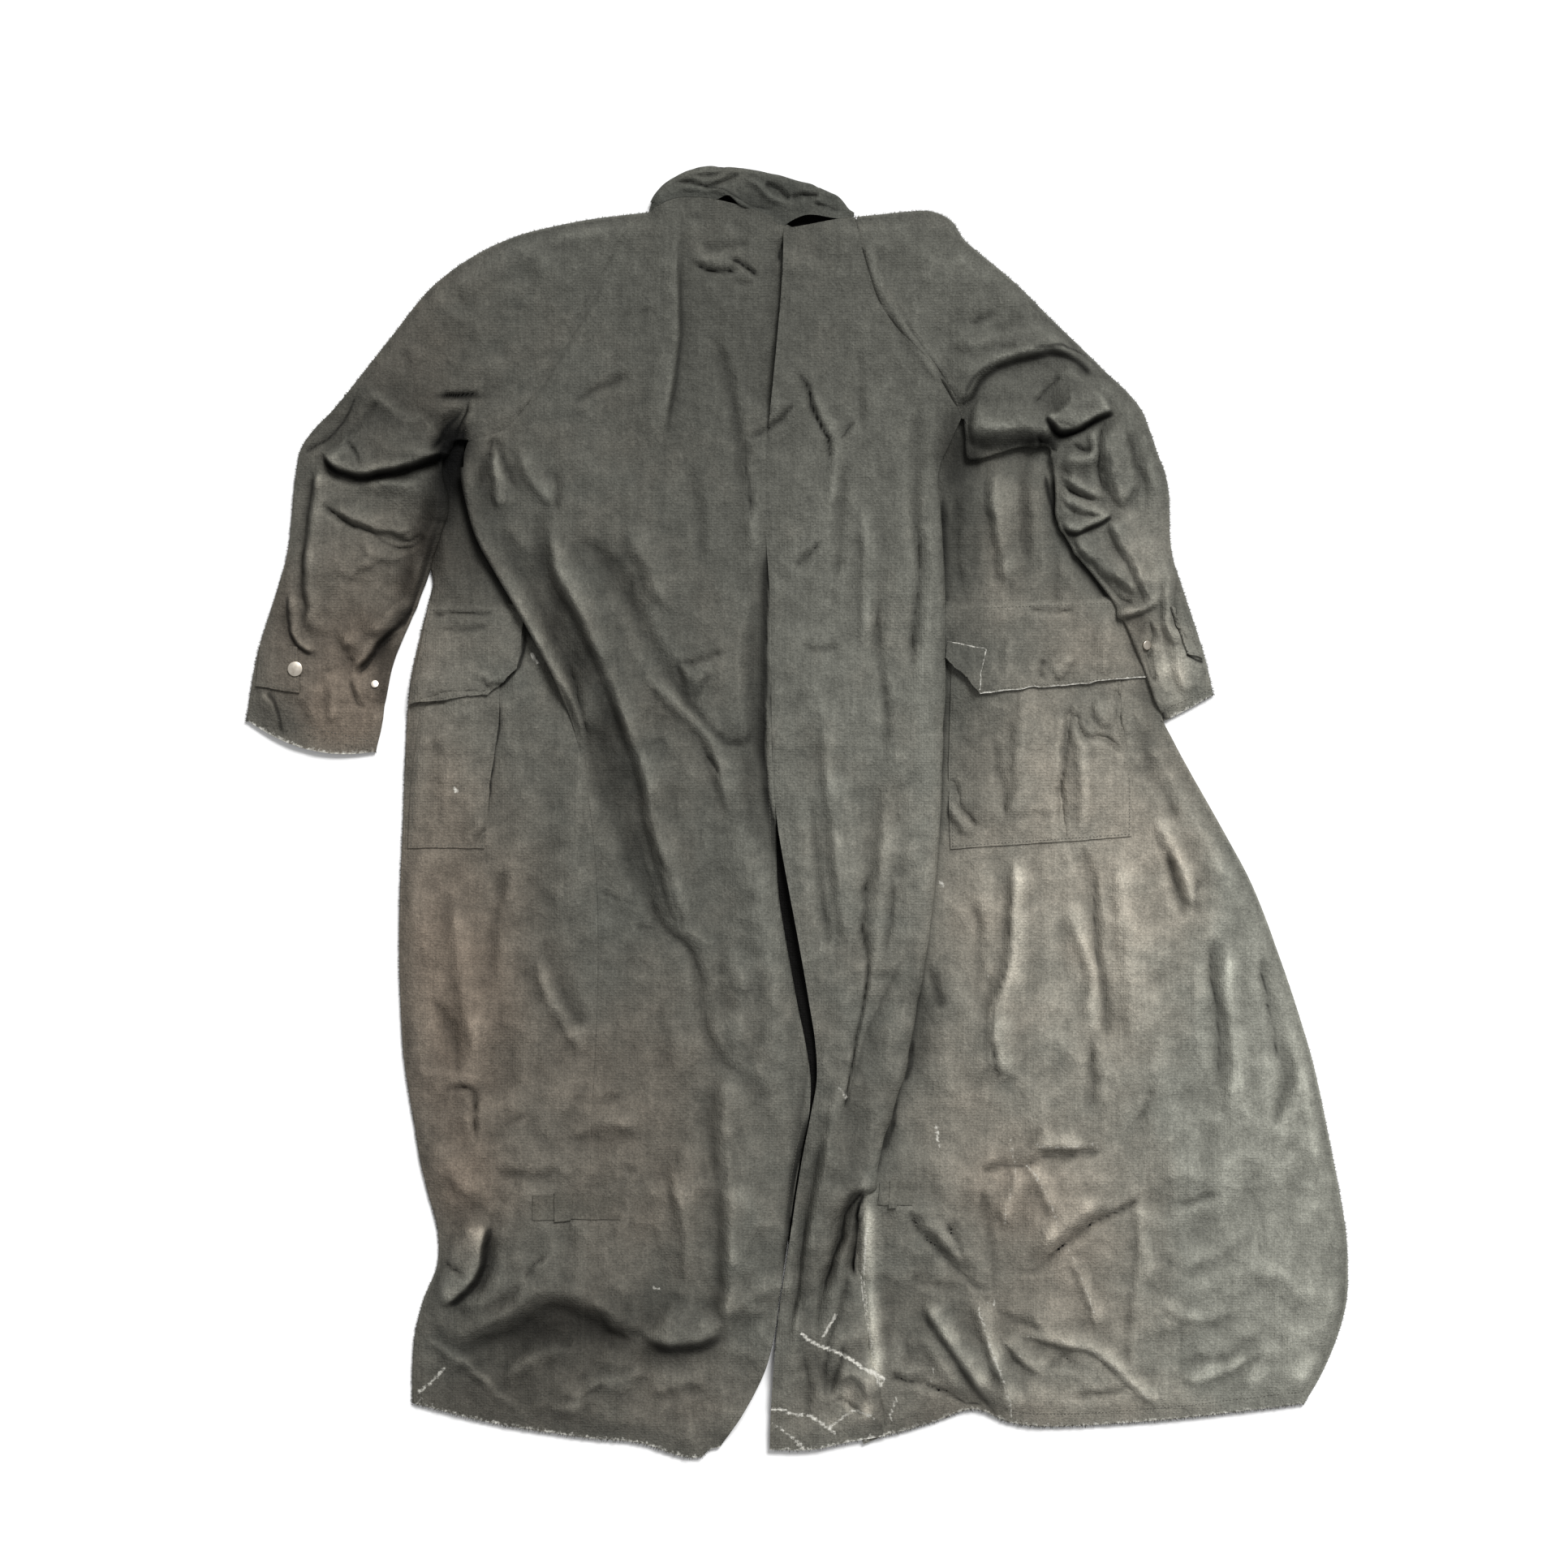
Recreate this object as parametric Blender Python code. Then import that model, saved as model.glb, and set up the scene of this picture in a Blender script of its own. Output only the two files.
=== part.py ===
"""A full-length riding coat of waxed cotton, lying on its front with its back uppermost.

Sizes are in millimetres, and the meshes are made in metres. Seen from above, +X is to the right and +Y
towards the collar. +Z is up, and the floor is at z = 0. Every panel is a closed wall of cloth. The fronts
and the sleeves turn under at the coat's outline and lie flat on the floor below the back.
"""

import math
from collections import namedtuple

import bmesh
import bpy
import numpy as np

MM = 0.001

# The cloth: a panel's wall, and the walls of pieces sewn single and double
CLOTH = 1.6
WALLS = {1: CLOTH, 2: 2.2}
SEAM_GAP = 0.3

# Heights of the middle of the cloth over the floor
FLOOR_LAYER = CLOTH / 2
FOLD_HEIGHT = 6.4
LEVEL = 12.0
LOWEST = 8.0

# The bend where a panel turns under, and how far inside the outline the cloth begins to sink towards it
BEND_RADIUS = (FOLD_HEIGHT - FLOOR_LAYER) / 2
BEND_INSET = BEND_RADIUS + CLOTH / 2
BEND_STEPS = 4
EDGE_REACH = 36.0
UNDERARM_LIP = 6.0
NECK_TRIM = 5.0

# The pleat of the right back: how high its edge stands, how wide it rises, and what is tucked below it
PLEAT_LIFT = 12.0
PLEAT_REACH = 75.0
PLEAT_RISE = 130.0
PLEAT_TUCK = 22.0
PLEAT_LAP = 5.0
TUCKED_HEIGHT = 5.0
TUCKED_REACH = 34.0
PLEAT_FIRST_ROW = 2

# How finely the panels are divided
YOKE_ROWS = 9
WAIST_ROWS = 9
SKIRT_ROWS = 20
SLEEVE_ROWS = 22
BACK_LEFT_COLUMNS = 13
BACK_RIGHT_COLUMNS = 9
FRONT_LEFT_COLUMNS = 9
FRONT_RIGHT_COLUMNS = 18
COLLAR_COLUMNS = 4
LAID_STEP = 15.0
CURVE_STEPS = 12
NECK_FADE = 3
RAGLAN_FADE = 40
CLOSER_AT_BOTH = 0.06
CLOSER_AT_LAST = 0.45
HEM_SHARE = 0.4
HEM_TRIES = 12
SLOPE_STEP = 1.0

# Sections across the body from the armpits to the hem: where each line along the coat crosses them
Body = namedtuple("Body", "y left_fold left_side centre_left centre_right pleat right_fold")
BODY = (
    Body(360, -349, -332, -34, -34, 153, 263),
    Body(300, -365, -312, -33, -33, 149, 266),
    Body(215, -386, -281, -28, -28, 150, 326),
    Body(130, -405, -246, -27, -27, 150, 360),
    Body(69, -409, -228, -26, -26, 148, 388),
    Body(-10, -412, -215, -23, -21, 144, 434),
    Body(-80, -415, -209, -20, -9, 138, 474),
    Body(-150, -416, -208, -14, 4, 129, 502),
    Body(-210, -414, -209, -5, 14, 120, 523),
    Body(-275, -409, -212, 7, 21, 106, 542),
    Body(-370, -393, -216, -9, 4, 79, 562),
    Body(-470, -375, -220, -13, -11, 64, 576),
    Body(-530, -397, -222, -23, -20, 66, 571),
    Body(-600, -403, -225, -48, -26, 77, 542),
    Body(-670, -400, -228, -82, -29, 103, 495),
)
ARMPIT_Y = BODY[0].y
VENT_TOP_Y = 69

# The hem, from the left fold round to the right one
Hem = namedtuple("Hem", "x y")
HEM = (
    Hem(-400, -619),
    Hem(-320, -639),
    Hem(-227, -654),
    Hem(-166, -660),
    Hem(-125, -673),
    Hem(-102, -676),
    Hem(-82, -670),
    Hem(-29, -667),
    Hem(15, -667),
    Hem(54, -659),
    Hem(99, -651),
    Hem(143, -638),
    Hem(185, -625),
    Hem(224, -639),
    Hem(270, -643),
    Hem(374, -637),
    Hem(466, -627),
    Hem(530, -619),
)

# Seams of the upper back: the two raglan seams from neck to armpit, and the centre back
Seam = namedtuple("Seam", "x y")
RAGLAN_LEFT = (
    Seam(-155, 627),
    Seam(-179, 603),
    Seam(-193, 577),
    Seam(-238, 499),
    Seam(-268, 444),
    Seam(-297, 405),
    Seam(-325, 391),
    Seam(-343, 387),
)
RAGLAN_RIGHT = (
    Seam(60, 622),
    Seam(70, 580),
    Seam(86, 531),
    Seam(112, 496),
    Seam(148, 456),
    Seam(171, 411),
)
CENTRE_BACK = (
    Seam(-14, 609),
    Seam(-16, 552),
    Seam(-25, 450),
    Seam(-32, 385),
)

# Sections across the sleeves, from the raglan seam to the cuff: overarm fold and underarm edge
Sleeve = namedtuple("Sleeve", "over_x over_y under_x under_y")
SLEEVE_LEFT = (
    Sleeve(-155, 627, -343, 387),
    Sleeve(-235, 616, -346, 378),
    Sleeve(-311, 595, -349, 369),
    Sleeve(-378, 552, -353, 358),
    Sleeve(-430, 489, -358, 344),
    Sleeve(-481, 425, -363, 328),
    Sleeve(-516, 385, -369, 308),
    Sleeve(-525, 345, -376, 285),
    Sleeve(-532, 276, -386, 251),
    Sleeve(-543, 234, -401, 207),
    Sleeve(-564, 166, -424, 150),
    Sleeve(-576.5, 95, -440, 62),
)
SLEEVE_RIGHT = (
    Sleeve(60, 622, 174, 409),
    Sleeve(146, 627, 184, 388),
    Sleeve(178, 595, 204, 380),
    Sleeve(229, 552, 240, 384),
    Sleeve(271, 510, 260, 378),
    Sleeve(314, 468, 268, 352),
    Sleeve(357, 425, 270, 327),
    Sleeve(374, 382, 273, 302),
    Sleeve(388, 340, 289, 273),
    Sleeve(391, 276, 311, 244),
    Sleeve(403, 234, 336, 209),
    Sleeve(424, 170, 357, 160),
    Sleeve(436, 122, 381, 94),
)
CUFF_BOW_LEFT = 14.0
CUFF_BOW_RIGHT = -5.0

# Sections across the collar, from its left end to its right one: neck seam and top edge, and how far the
# front half of the collar shows past the top edge of its back half
Collar = namedtuple("Collar", "neck_x neck_y top_x top_y shows")
COLLAR = (
    Collar(-155, 627, -147, 642, 0),
    Collar(-138, 637, -131, 656, 2),
    Collar(-119, 642, -110, 666, 5),
    Collar(-87, 640, -86, 669, 7.5),
    Collar(-44, 627, -53, 667, 5),
    Collar(-14, 609, -20, 660, 1),
    Collar(10, 613, 12, 650, -1),
    Collar(35, 618, 38, 640, -1),
    Collar(60, 622, 57, 635, 0),
)
COLLAR_MIDDLE = 5

# The edges of the layer on the floor: the front neck, the two centre fronts and the two inner hems
Under = namedtuple("Under", "x y")
FRONT_NECK_LEFT = (Under(-24, 592), Under(-66, 591), Under(-112, 598), Under(-149, 619))
FRONT_NECK_RIGHT = (Under(-23, 592), Under(16, 597), Under(55, 615))
CENTRE_FRONT_LEFT = (Under(-100, -648), Under(-68, -590), Under(-45, -500), Under(-36, -300), Under(-34, 80))
CENTRE_FRONT_RIGHT = (Under(6, -645), Under(-4, -500), Under(-24, -300), Under(-33, 80))
INNER_HEM_LEFT = (Under(-320, -630), Under(-227, -645), Under(-130, -656))
INNER_HEM_RIGHT = (Under(466, -618), Under(374, -628), Under(250, -632), Under(185, -616), Under(99, -642))
TOP_FRONT_RIGHT = (Under(188, 362), Under(228, 374))
ARMHOLE_RIGHT = (Under(170, 402), Under(183, 374), Under(206, 370), Under(240, 375))

# The largest folds: a ridge, or with a negative height a trough, from one point to another. Its middle is
# set sideways by its bow, and it is as wide as given on its left and right as one walks along it.
Fold = namedtuple("Fold", "panels x1 y1 x2 y2 bow left right height")
SHARED = ("back_left", "back_right", "front_left", "front_right", "sleeve_left", "sleeve_right", "collar")
FRONT = ("front_right",)
FOLDS = (
    # upper back
    Fold(SHARED, -127, 640, -131, 430, 0, 16, 55, 8),
    Fold(SHARED, -14, 620, -30, 380, 0, 50, 20, 8),
    Fold(SHARED, -100, 560, -40, 540, 0, 22, 18, -4),
    Fold(SHARED, -5, 470, 30, 360, 0, 26, 26, 5),
    # left back and left front
    Fold(SHARED, -345, 400, -225, 100, 0, 34, 34, 15),
    Fold(SHARED, -278, 330, -120, -190, 0, 32, 30, -6),
    Fold(SHARED, -235, 340, -98, -130, 0, 32, 30, 12),
    Fold(SHARED, -190, 270, -60, -20, 0, 26, 26, -5),
    Fold(SHARED, -118, 130, -14, -330, -10, 36, 44, 10),
    Fold(SHARED, -362, -40, -318, -440, 14, 40, 34, 8),
    Fold(SHARED, -250, -120, -160, -420, 20, 44, 44, 5),
    Fold(SHARED, -392, -438, -280, -410, 0, 26, 24, 9),
    Fold(SHARED, -370, -530, -140, -500, 12, 32, 34, 11),
    Fold(SHARED, -385, -575, -130, -570, 0, 28, 26, -5),
    Fold(SHARED, -76, -300, -76, -560, 0, 28, 22, 8),
    Fold(SHARED, -330, -640, -130, -660, 8, 30, 30, 5),
    # right front
    Fold(FRONT, 205, 385, 215, 210, 0, 36, 30, 6),
    Fold(FRONT, 219, -30, 226, -300, 6, 28, 32, 10),
    Fold(FRONT, 313, -30, 352, -330, -8, 36, 28, 10),
    Fold(FRONT, 415, -60, 470, -370, 10, 30, 36, 11),
    Fold(FRONT, 500, -150, 540, -450, 8, 30, 28, 8),
    Fold(FRONT, 207, -390, 214, -660, -8, 34, 28, 11),
    Fold(FRONT, 285, -440, 378, -655, -12, 32, 30, 10),
    Fold(FRONT, 430, -430, 492, -640, 8, 32, 30, 7),
    Fold(FRONT, 130, -250, 120, -640, 0, 30, 30, 5),
    # left sleeve
    Fold(SHARED, -526, 382, -352, 372, 4, 54, 20, 16),
    Fold(SHARED, -390, 520, -230, 580, 0, 46, 50, 7),
    Fold(SHARED, -502, 372, -520, 178, 8, 32, 26, 11),
    Fold(SHARED, -400, 330, -466, 140, -10, 30, 30, 7),
    # right sleeve
    Fold(SHARED, 160, 412, 372, 452, 8, 48, 26, 17),
    Fold(SHARED, 180, 500, 330, 476, -10, 26, 26, -5),
    Fold(SHARED, 120, 575, 250, 500, 0, 34, 34, 5),
    Fold(SHARED, 255, 362, 390, 392, 0, 30, 28, 10),
    Fold(SHARED, 278, 300, 398, 330, 0, 30, 28, 9),
    Fold(SHARED, 318, 300, 378, 196, 6, 26, 24, 8),
)
FOLD_FADE = 0.3

# Pieces laid on a panel: layers of cloth, how high the upper edge lies over the middle of the panel, the four
# corners, how far the lower edge stands off, how far the middle puffs out and how far the right edge swells
COLUMNS = "name panel layers lift left_top right_top left_low right_low opens puff swell"
Laid = namedtuple("Laid", COLUMNS, defaults=(0, 0, 0))
LAID = (
    Laid("pocket_left", "front_left", 1, 2.3, (-382, 191), (-308, 191), (-402, -38), (-325, -38), 0, 5),
    Laid("flap_left", "front_left", 2, 3.3, (-375, 221), (-300, 218), (-396, 123), (-322, 123), 5.5, 1, 14),
    Laid("pocket_right", "front_right", 1, 2.3, (163, 191), (325, 194), (160, -39), (350, -26), 0, 7),
    Laid("flap_right", "front_right", 2, 2.7, (162, 221), (310, 221), (170, 126), (345, 140), 6.7, 1),
    Laid("cuff_tab_left", "sleeve_left", 2, 2.9, (-552, 178), (-513, 171), (-560, 134), (-511, 124)),
    Laid("cuff_tab_right", "sleeve_right", 2, 2.9, (386, 214), (400, 212), (392, 169), (412, 168)),
    Laid("leg_strap_left", "back_left", 1, 2.6, (-272, -404), (-185, -406), (-272, -424), (-185, -426)),
    Laid("leg_strap_right", "front_right", 1, 2.5, (88, -388), (126, -388), (87, -410), (125, -411)),
    Laid("strap_keeper_left", "back_left", 1, 4.6, (-253, -401), (-236, -401), (-253, -428), (-236, -428)),
    Laid("strap_keeper_right", "front_right", 1, 4.6, (98, -385), (106, -385), (97, -413), (105, -413)),
)
PUFF_RISE = 0.55
PUFF_FALL = 0.2

# Metal snap parts: where they sit, the height of their lower face over the panel's middle, and their size
Snap = namedtuple("Snap", "name panel x y seat radius height")
SNAPS = (
    Snap("cuff_snap_left", "sleeve_left", -524, 149, 4.6, 7.8, 2.4),
    Snap("cuff_stud_left", "sleeve_left", -441, 133, 1.4, 4.2, 2.6),
    Snap("cuff_stud_right", "sleeve_right", 367, 175, 1.3, 5.2, 2.6),
)
SNAP_SIDES = 16
SNAP_BEVEL = 0.6

# Colour and roughness of the cloths and the metal
Look = namedtuple("Look", "colour roughness metallic")
WAXED_COTTON = Look((0.078, 0.074, 0.064, 1.0), 0.62, 0.0)
COLLAR_CLOTH = Look((0.062, 0.056, 0.047, 1.0), 0.8, 0.0)
TAPE = Look((0.04, 0.038, 0.033, 1.0), 0.75, 0.0)
SNAP_METAL = Look((0.42, 0.38, 0.33, 1.0), 0.35, 1.0)


def smooth(share):
    """Goes from 0 to 1 with no slope at either end."""
    share = np.clip(share, 0.0, 1.0)
    return share * share * (3.0 - 2.0 * share)


def curve(points, count):
    """Points spread evenly along a smooth line through the given ones, of any number of coordinates."""
    knots = np.array(points, dtype=float)
    ends = np.vstack([2 * knots[0] - knots[1], knots, 2 * knots[-1] - knots[-2]])
    fine = []
    for index in range(len(knots) - 1):
        before, start, stop, after = ends[index : index + 4]
        for s in np.arange(CURVE_STEPS) / CURVE_STEPS:
            swing = (stop - before) * s
            swing = swing + (2 * before - 5 * start + 4 * stop - after) * s**2
            swing = swing + (3 * start - before - 3 * stop + after) * s**3
            fine.append(start + swing / 2)
    fine = np.array(fine + [knots[-1]])
    run = np.concatenate([[0.0], np.cumsum(np.linalg.norm(np.diff(fine, axis=0), axis=1))])
    places = np.linspace(0.0, run[-1], count)
    return np.stack([np.interp(places, run, fine[:, k]) for k in range(fine.shape[1])], axis=1)


def left_of(points):
    """The level unit direction to the left of a line at each of its points."""
    along = np.gradient(points, axis=0)
    along = along / np.linalg.norm(along, axis=1, keepdims=True)
    return np.stack([-along[:, 1], along[:, 0]], axis=1)


def shifted(points, distance):
    """A line moved sideways to its left."""
    return points + distance * left_of(points)


def across(name, y):
    """Where the body's line of that name crosses the given y, on a smooth curve through its sections."""
    stations = np.array([section.y for section in BODY], dtype=float)
    values = np.array([getattr(section, name) for section in BODY], dtype=float)
    slopes = np.gradient(values, stations)
    place = np.clip(np.searchsorted(-stations, -y, side="right") - 1, 0, len(stations) - 2)
    width = stations[place + 1] - stations[place]
    t = (y - stations[place]) / width
    start = values[place] * (1 + 2 * t) * (1 - t) ** 2 + slopes[place] * width * t * (1 - t) ** 2
    stop = values[place + 1] * t**2 * (3 - 2 * t) + slopes[place + 1] * width * t**2 * (t - 1)
    return start + stop


def hem_y(x):
    """Height of the hem line at x."""
    return np.interp(x, [point.x for point in HEM], [point.y for point in HEM])


def body_line(name):
    """A line along the body from the armpit's level to the hem."""
    stop = ARMPIT_Y
    for _ in range(HEM_TRIES):
        stop = float(hem_y(across(name, np.array([stop]))[0]))
    waist = np.linspace(ARMPIT_Y, VENT_TOP_Y, WAIST_ROWS)
    skirt = np.linspace(VENT_TOP_Y, stop, SKIRT_ROWS)[1:]
    y = np.concatenate([waist, skirt])
    return np.stack([across(name, y), y], axis=1)


def away(xy, line):
    """Distance of each point from a line."""
    starts = line[:-1]
    steps = line[1:] - starts
    offset = xy[..., None, :] - starts
    share = np.clip((offset * steps).sum(-1) / (steps * steps).sum(-1), 0.0, 1.0)
    return np.linalg.norm(offset - share[..., None] * steps, axis=-1).min(-1)


def fold_height(xy, fold):
    """Height that one fold adds at each point."""
    start = np.array([fold.x1, fold.y1], dtype=float)
    path = np.array([fold.x2, fold.y2]) - start
    length = np.linalg.norm(path)
    along = path / length
    side = np.array([-along[1], along[0]])
    offset = xy - start
    t = offset @ along / length
    sideways = offset @ side - 4.0 * fold.bow * t * (1.0 - t)
    reach = np.where(sideways > 0.0, fold.left, fold.right)
    profile = 0.5 * (1.0 + np.cos(math.pi * np.clip(sideways / reach, -1.0, 1.0)))
    return fold.height * profile * smooth(t / FOLD_FADE) * smooth((1.0 - t) / FOLD_FADE)


LEFT_SLEEVE = curve(SLEEVE_LEFT, SLEEVE_ROWS)
RIGHT_SLEEVE = curve(SLEEVE_RIGHT, SLEEVE_ROWS)
LEFT_RAGLAN = curve(RAGLAN_LEFT, YOKE_ROWS)
RIGHT_RAGLAN = curve(RAGLAN_RIGHT, YOKE_ROWS)
CENTRE_YOKE = curve(CENTRE_BACK, YOKE_ROWS)
COLLAR_LEFT = curve(COLLAR[: COLLAR_MIDDLE + 1], BACK_LEFT_COLUMNS)
COLLAR_RIGHT = curve(COLLAR[COLLAR_MIDDLE:], BACK_RIGHT_COLUMNS)
COLLAR_SECTIONS = np.vstack([COLLAR_LEFT, COLLAR_RIGHT[1:]])
OUTLINES = (
    LEFT_SLEEVE[:, :2],
    LEFT_SLEEVE[:, 2:],
    RIGHT_SLEEVE[:, :2],
    RIGHT_SLEEVE[:, 2:],
    body_line("left_fold"),
    body_line("right_fold"),
)
PLEAT_EDGE = body_line("pleat")
TUCKED_EDGE = shifted(PLEAT_EDGE, -PLEAT_TUCK)


def height(xy, panel):
    """Height of the middle of the cloth over the floor."""
    z = np.full(xy.shape[:-1], LEVEL)
    for fold in FOLDS:
        if panel in fold.panels:
            z = z + fold_height(xy, fold)
    if panel == "back_right":
        near = 1.0 - smooth(away(xy, PLEAT_EDGE) / PLEAT_REACH)
        z = z + PLEAT_LIFT * near * smooth((ARMPIT_Y + LEVEL - xy[..., 1]) / PLEAT_RISE)
    z = np.maximum(z, LOWEST)
    edge = np.min([away(xy, line) for line in OUTLINES], axis=0)
    z = FOLD_HEIGHT + (z - FOLD_HEIGHT) * smooth(edge / EDGE_REACH)
    if panel == "front_right":
        z = TUCKED_HEIGHT + (z - TUCKED_HEIGHT) * smooth(away(xy, TUCKED_EDGE) / TUCKED_REACH)
    return z


def surface(xy, panel):
    """Points of a panel's middle layer, and the directions its outer face looks in."""
    steps = SLOPE_STEP * np.eye(2)
    slopes = [height(xy + step, panel) - height(xy - step, panel) for step in steps]
    normals = np.stack([-slopes[0], -slopes[1], np.full(xy.shape[:-1], 2 * SLOPE_STEP)], axis=-1)
    normals = normals / np.linalg.norm(normals, axis=-1, keepdims=True)
    return np.concatenate([xy, height(xy, panel)[..., None]], axis=-1), normals


def patch(side_a, side_b, columns, top=None, fade=NECK_FADE, bow=0.0, both=0.0, last=0.0):
    """Points spread over a four-sided panel, by rows from side a to side b.

    The first row follows a given line, whose shape fades out down the rows, and the last row may be bowed.
    The columns can lie closer together at both sides, or at side b.
    """
    share = np.linspace(0.0, 1.0, columns)
    u = (share - both * np.sin(2.0 * math.pi * share) + last * share * (1.0 - share))[None, :, None]
    v = np.linspace(0.0, 1.0, len(side_a))[:, None, None]
    grid = side_a[:, None, :] * (1.0 - u) + side_b[:, None, :] * u
    if top is not None:
        grid = grid + (1.0 - v) ** fade * (top - grid[0])
    reach = grid[-1] - grid[-2]
    reach = reach / np.linalg.norm(reach, axis=1, keepdims=True)
    return grid + bow * 4.0 * (u * (1.0 - u)) * v**3 * reach


def to_hem(grid):
    """The panel with its last rows moved on to the hem line."""
    rows = len(grid)
    share = smooth(1.0 + (np.arange(rows) / (rows - 1) - 1.0) / HEM_SHARE)[:, None]
    moved = grid.copy()
    moved[..., 1] += share * (hem_y(grid[-1, :, 0]) - grid[-1, :, 1])
    return moved


class Cloth:
    """A sheet of cloth put together from stretches, and then made into a wall."""

    def __init__(self):
        self.points = []
        self.normals = []
        self.faces = []

    def add(self, points, normals):
        first = len(self.points)
        self.points.extend(points.reshape(-1, 3))
        self.normals.extend(normals.reshape(-1, 3))
        return first + np.arange(points[..., 0].size).reshape(points.shape[:-1])

    def sew(self, index):
        for upper, lower in zip(index[:-1], index[1:]):
            for k in range(len(upper) - 1):
                self.faces.append((upper[k], upper[k + 1], lower[k + 1], lower[k]))

    def bend(self, edge, outward, bottom, lip=0.0):
        """Turns the cloth under along an edge, down to a height, with a lip that runs back below it."""
        points = np.array([self.points[i] for i in edge])
        flat = np.concatenate([outward, np.zeros((len(edge), 1))], axis=1)
        up = np.array([0.0, 0.0, 1.0])
        radius = ((points[:, 2] - bottom) / 2)[:, None]
        centre = points - radius * up
        columns = []
        normals = []
        for angle in np.linspace(math.pi / 2, -math.pi / 2, BEND_STEPS + 1)[1:]:
            direction = flat * math.cos(angle) + up * math.sin(angle)
            columns.append(centre + radius * direction)
            normals.append(direction)
        if lip:
            columns.append(columns[-1] - lip * flat)
            normals.append(normals[-1])
        index = self.add(np.stack(columns, axis=1), np.stack(normals, axis=1))
        self.sew(np.concatenate([np.array(edge)[:, None], index], axis=1))
        return index[:, -1]

    def rest(self, outline):
        """Points of an outline of the layer on the floor."""
        xy = np.array(outline, dtype=float)
        points = np.concatenate([xy, np.full((len(xy), 1), FLOOR_LAYER)], axis=1)
        return self.add(points, np.tile([0.0, 0.0, -1.0], (len(xy), 1)))

    def plate(self, *stretches):
        """Closes the layer on the floor between the given stretches of its edge."""
        self.faces.append(tuple(np.concatenate(stretches)))

    def wall(self, name, thickness, look):
        """Makes the closed wall, half its thickness to each side of the sheet."""
        points = np.array(self.points)
        half = thickness / 2 * np.array(self.normals)
        count = len(points)
        faces = [tuple(face) for face in self.faces]
        faces += [tuple(count + i for i in reversed(face)) for face in self.faces]
        uses = {}
        for face in self.faces:
            for a, b in zip(face, face[1:] + face[:1]):
                uses.setdefault(frozenset((a, b)), []).append((a, b))
        for edges in uses.values():
            if len(edges) == 1:
                a, b = edges[0]
                faces.append((b, a, count + a, count + b))
        make_object(name, np.vstack([points + half, points - half]), faces, look)


def make_object(name, points, faces, look):
    """A named mesh object with its material, from points in millimetres."""
    mesh = bpy.data.meshes.new(name)
    mesh.from_pydata((points * MM).tolist(), [], [[int(i) for i in face] for face in faces])
    shape = bmesh.new()
    shape.from_mesh(mesh)
    bmesh.ops.recalc_face_normals(shape, faces=shape.faces)
    shape.to_mesh(mesh)
    shape.free()
    mesh.shade_smooth()
    mesh.materials.append(material(name, look))
    piece = bpy.data.objects.new(name, mesh)
    bpy.context.scene.collection.objects.link(piece)
    return piece


def material(name, look):
    """The plain colour of one piece."""
    paint = bpy.data.materials.new(name)
    paint.use_nodes = True
    shader = paint.node_tree.nodes["Principled BSDF"]
    shader.inputs["Base Color"].default_value = look.colour
    shader.inputs["Roughness"].default_value = look.roughness
    shader.inputs["Metallic"].default_value = look.metallic
    return paint


def back_panel(name, outer, inner, neck):
    """One half of the back, by rows from its outer side to the centre back."""
    cloth = Cloth()
    grid = to_hem(patch(np.vstack(outer), np.vstack(inner), len(neck), neck))
    top = cloth.add(*surface(grid, name))
    cloth.sew(top)
    return cloth, top


def make_back_left():
    half_gap = SEAM_GAP / 2
    outer = shifted(LEFT_RAGLAN, half_gap), shifted(body_line("left_side"), half_gap)
    inner = shifted(CENTRE_YOKE, -half_gap), shifted(body_line("centre_left"), -half_gap)
    cloth, _ = back_panel("back_left", outer, inner, shifted(COLLAR_LEFT[:, :2], -half_gap))
    cloth.wall("back_left", CLOTH, WAXED_COTTON)


def make_back_right():
    """The right back, whose outer edge is pleated over the right front and turns under."""
    half_gap = SEAM_GAP / 2
    outer = shifted(RIGHT_RAGLAN, -half_gap), shifted(PLEAT_EDGE, -BEND_INSET)
    inner = shifted(CENTRE_YOKE, half_gap), shifted(body_line("centre_right"), half_gap)
    cloth, top = back_panel("back_right", outer, inner, shifted(COLLAR_RIGHT[:, :2], -half_gap)[::-1])
    edge = top[YOKE_ROWS + PLEAT_FIRST_ROW :, 0]
    drop = np.array([cloth.points[i][2] for i in edge]) - 2 * BEND_RADIUS
    outward = left_of(PLEAT_EDGE)[PLEAT_FIRST_ROW:]
    cloth.bend(edge, outward, drop, PLEAT_TUCK + PLEAT_LAP - BEND_INSET)
    cloth.wall("back_right", CLOTH, WAXED_COTTON)


def make_front_left():
    seam = shifted(body_line("left_side"), -SEAM_GAP / 2)
    fold = body_line("left_fold")
    inside = left_of(fold)
    cloth = Cloth()
    grid = to_hem(patch(seam, fold + BEND_INSET * inside, FRONT_LEFT_COLUMNS, last=CLOSER_AT_LAST))
    top = cloth.add(*surface(grid, "front_left"))
    cloth.sew(top)
    edge = cloth.bend(top[:, -1], -inside, FLOOR_LAYER)
    raglan = shifted(LEFT_RAGLAN, SEAM_GAP / 2)[1:]
    cloth.plate(edge, cloth.rest(INNER_HEM_LEFT + CENTRE_FRONT_LEFT + FRONT_NECK_LEFT), cloth.rest(raglan))
    cloth.wall("front_left", CLOTH, WAXED_COTTON)


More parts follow.
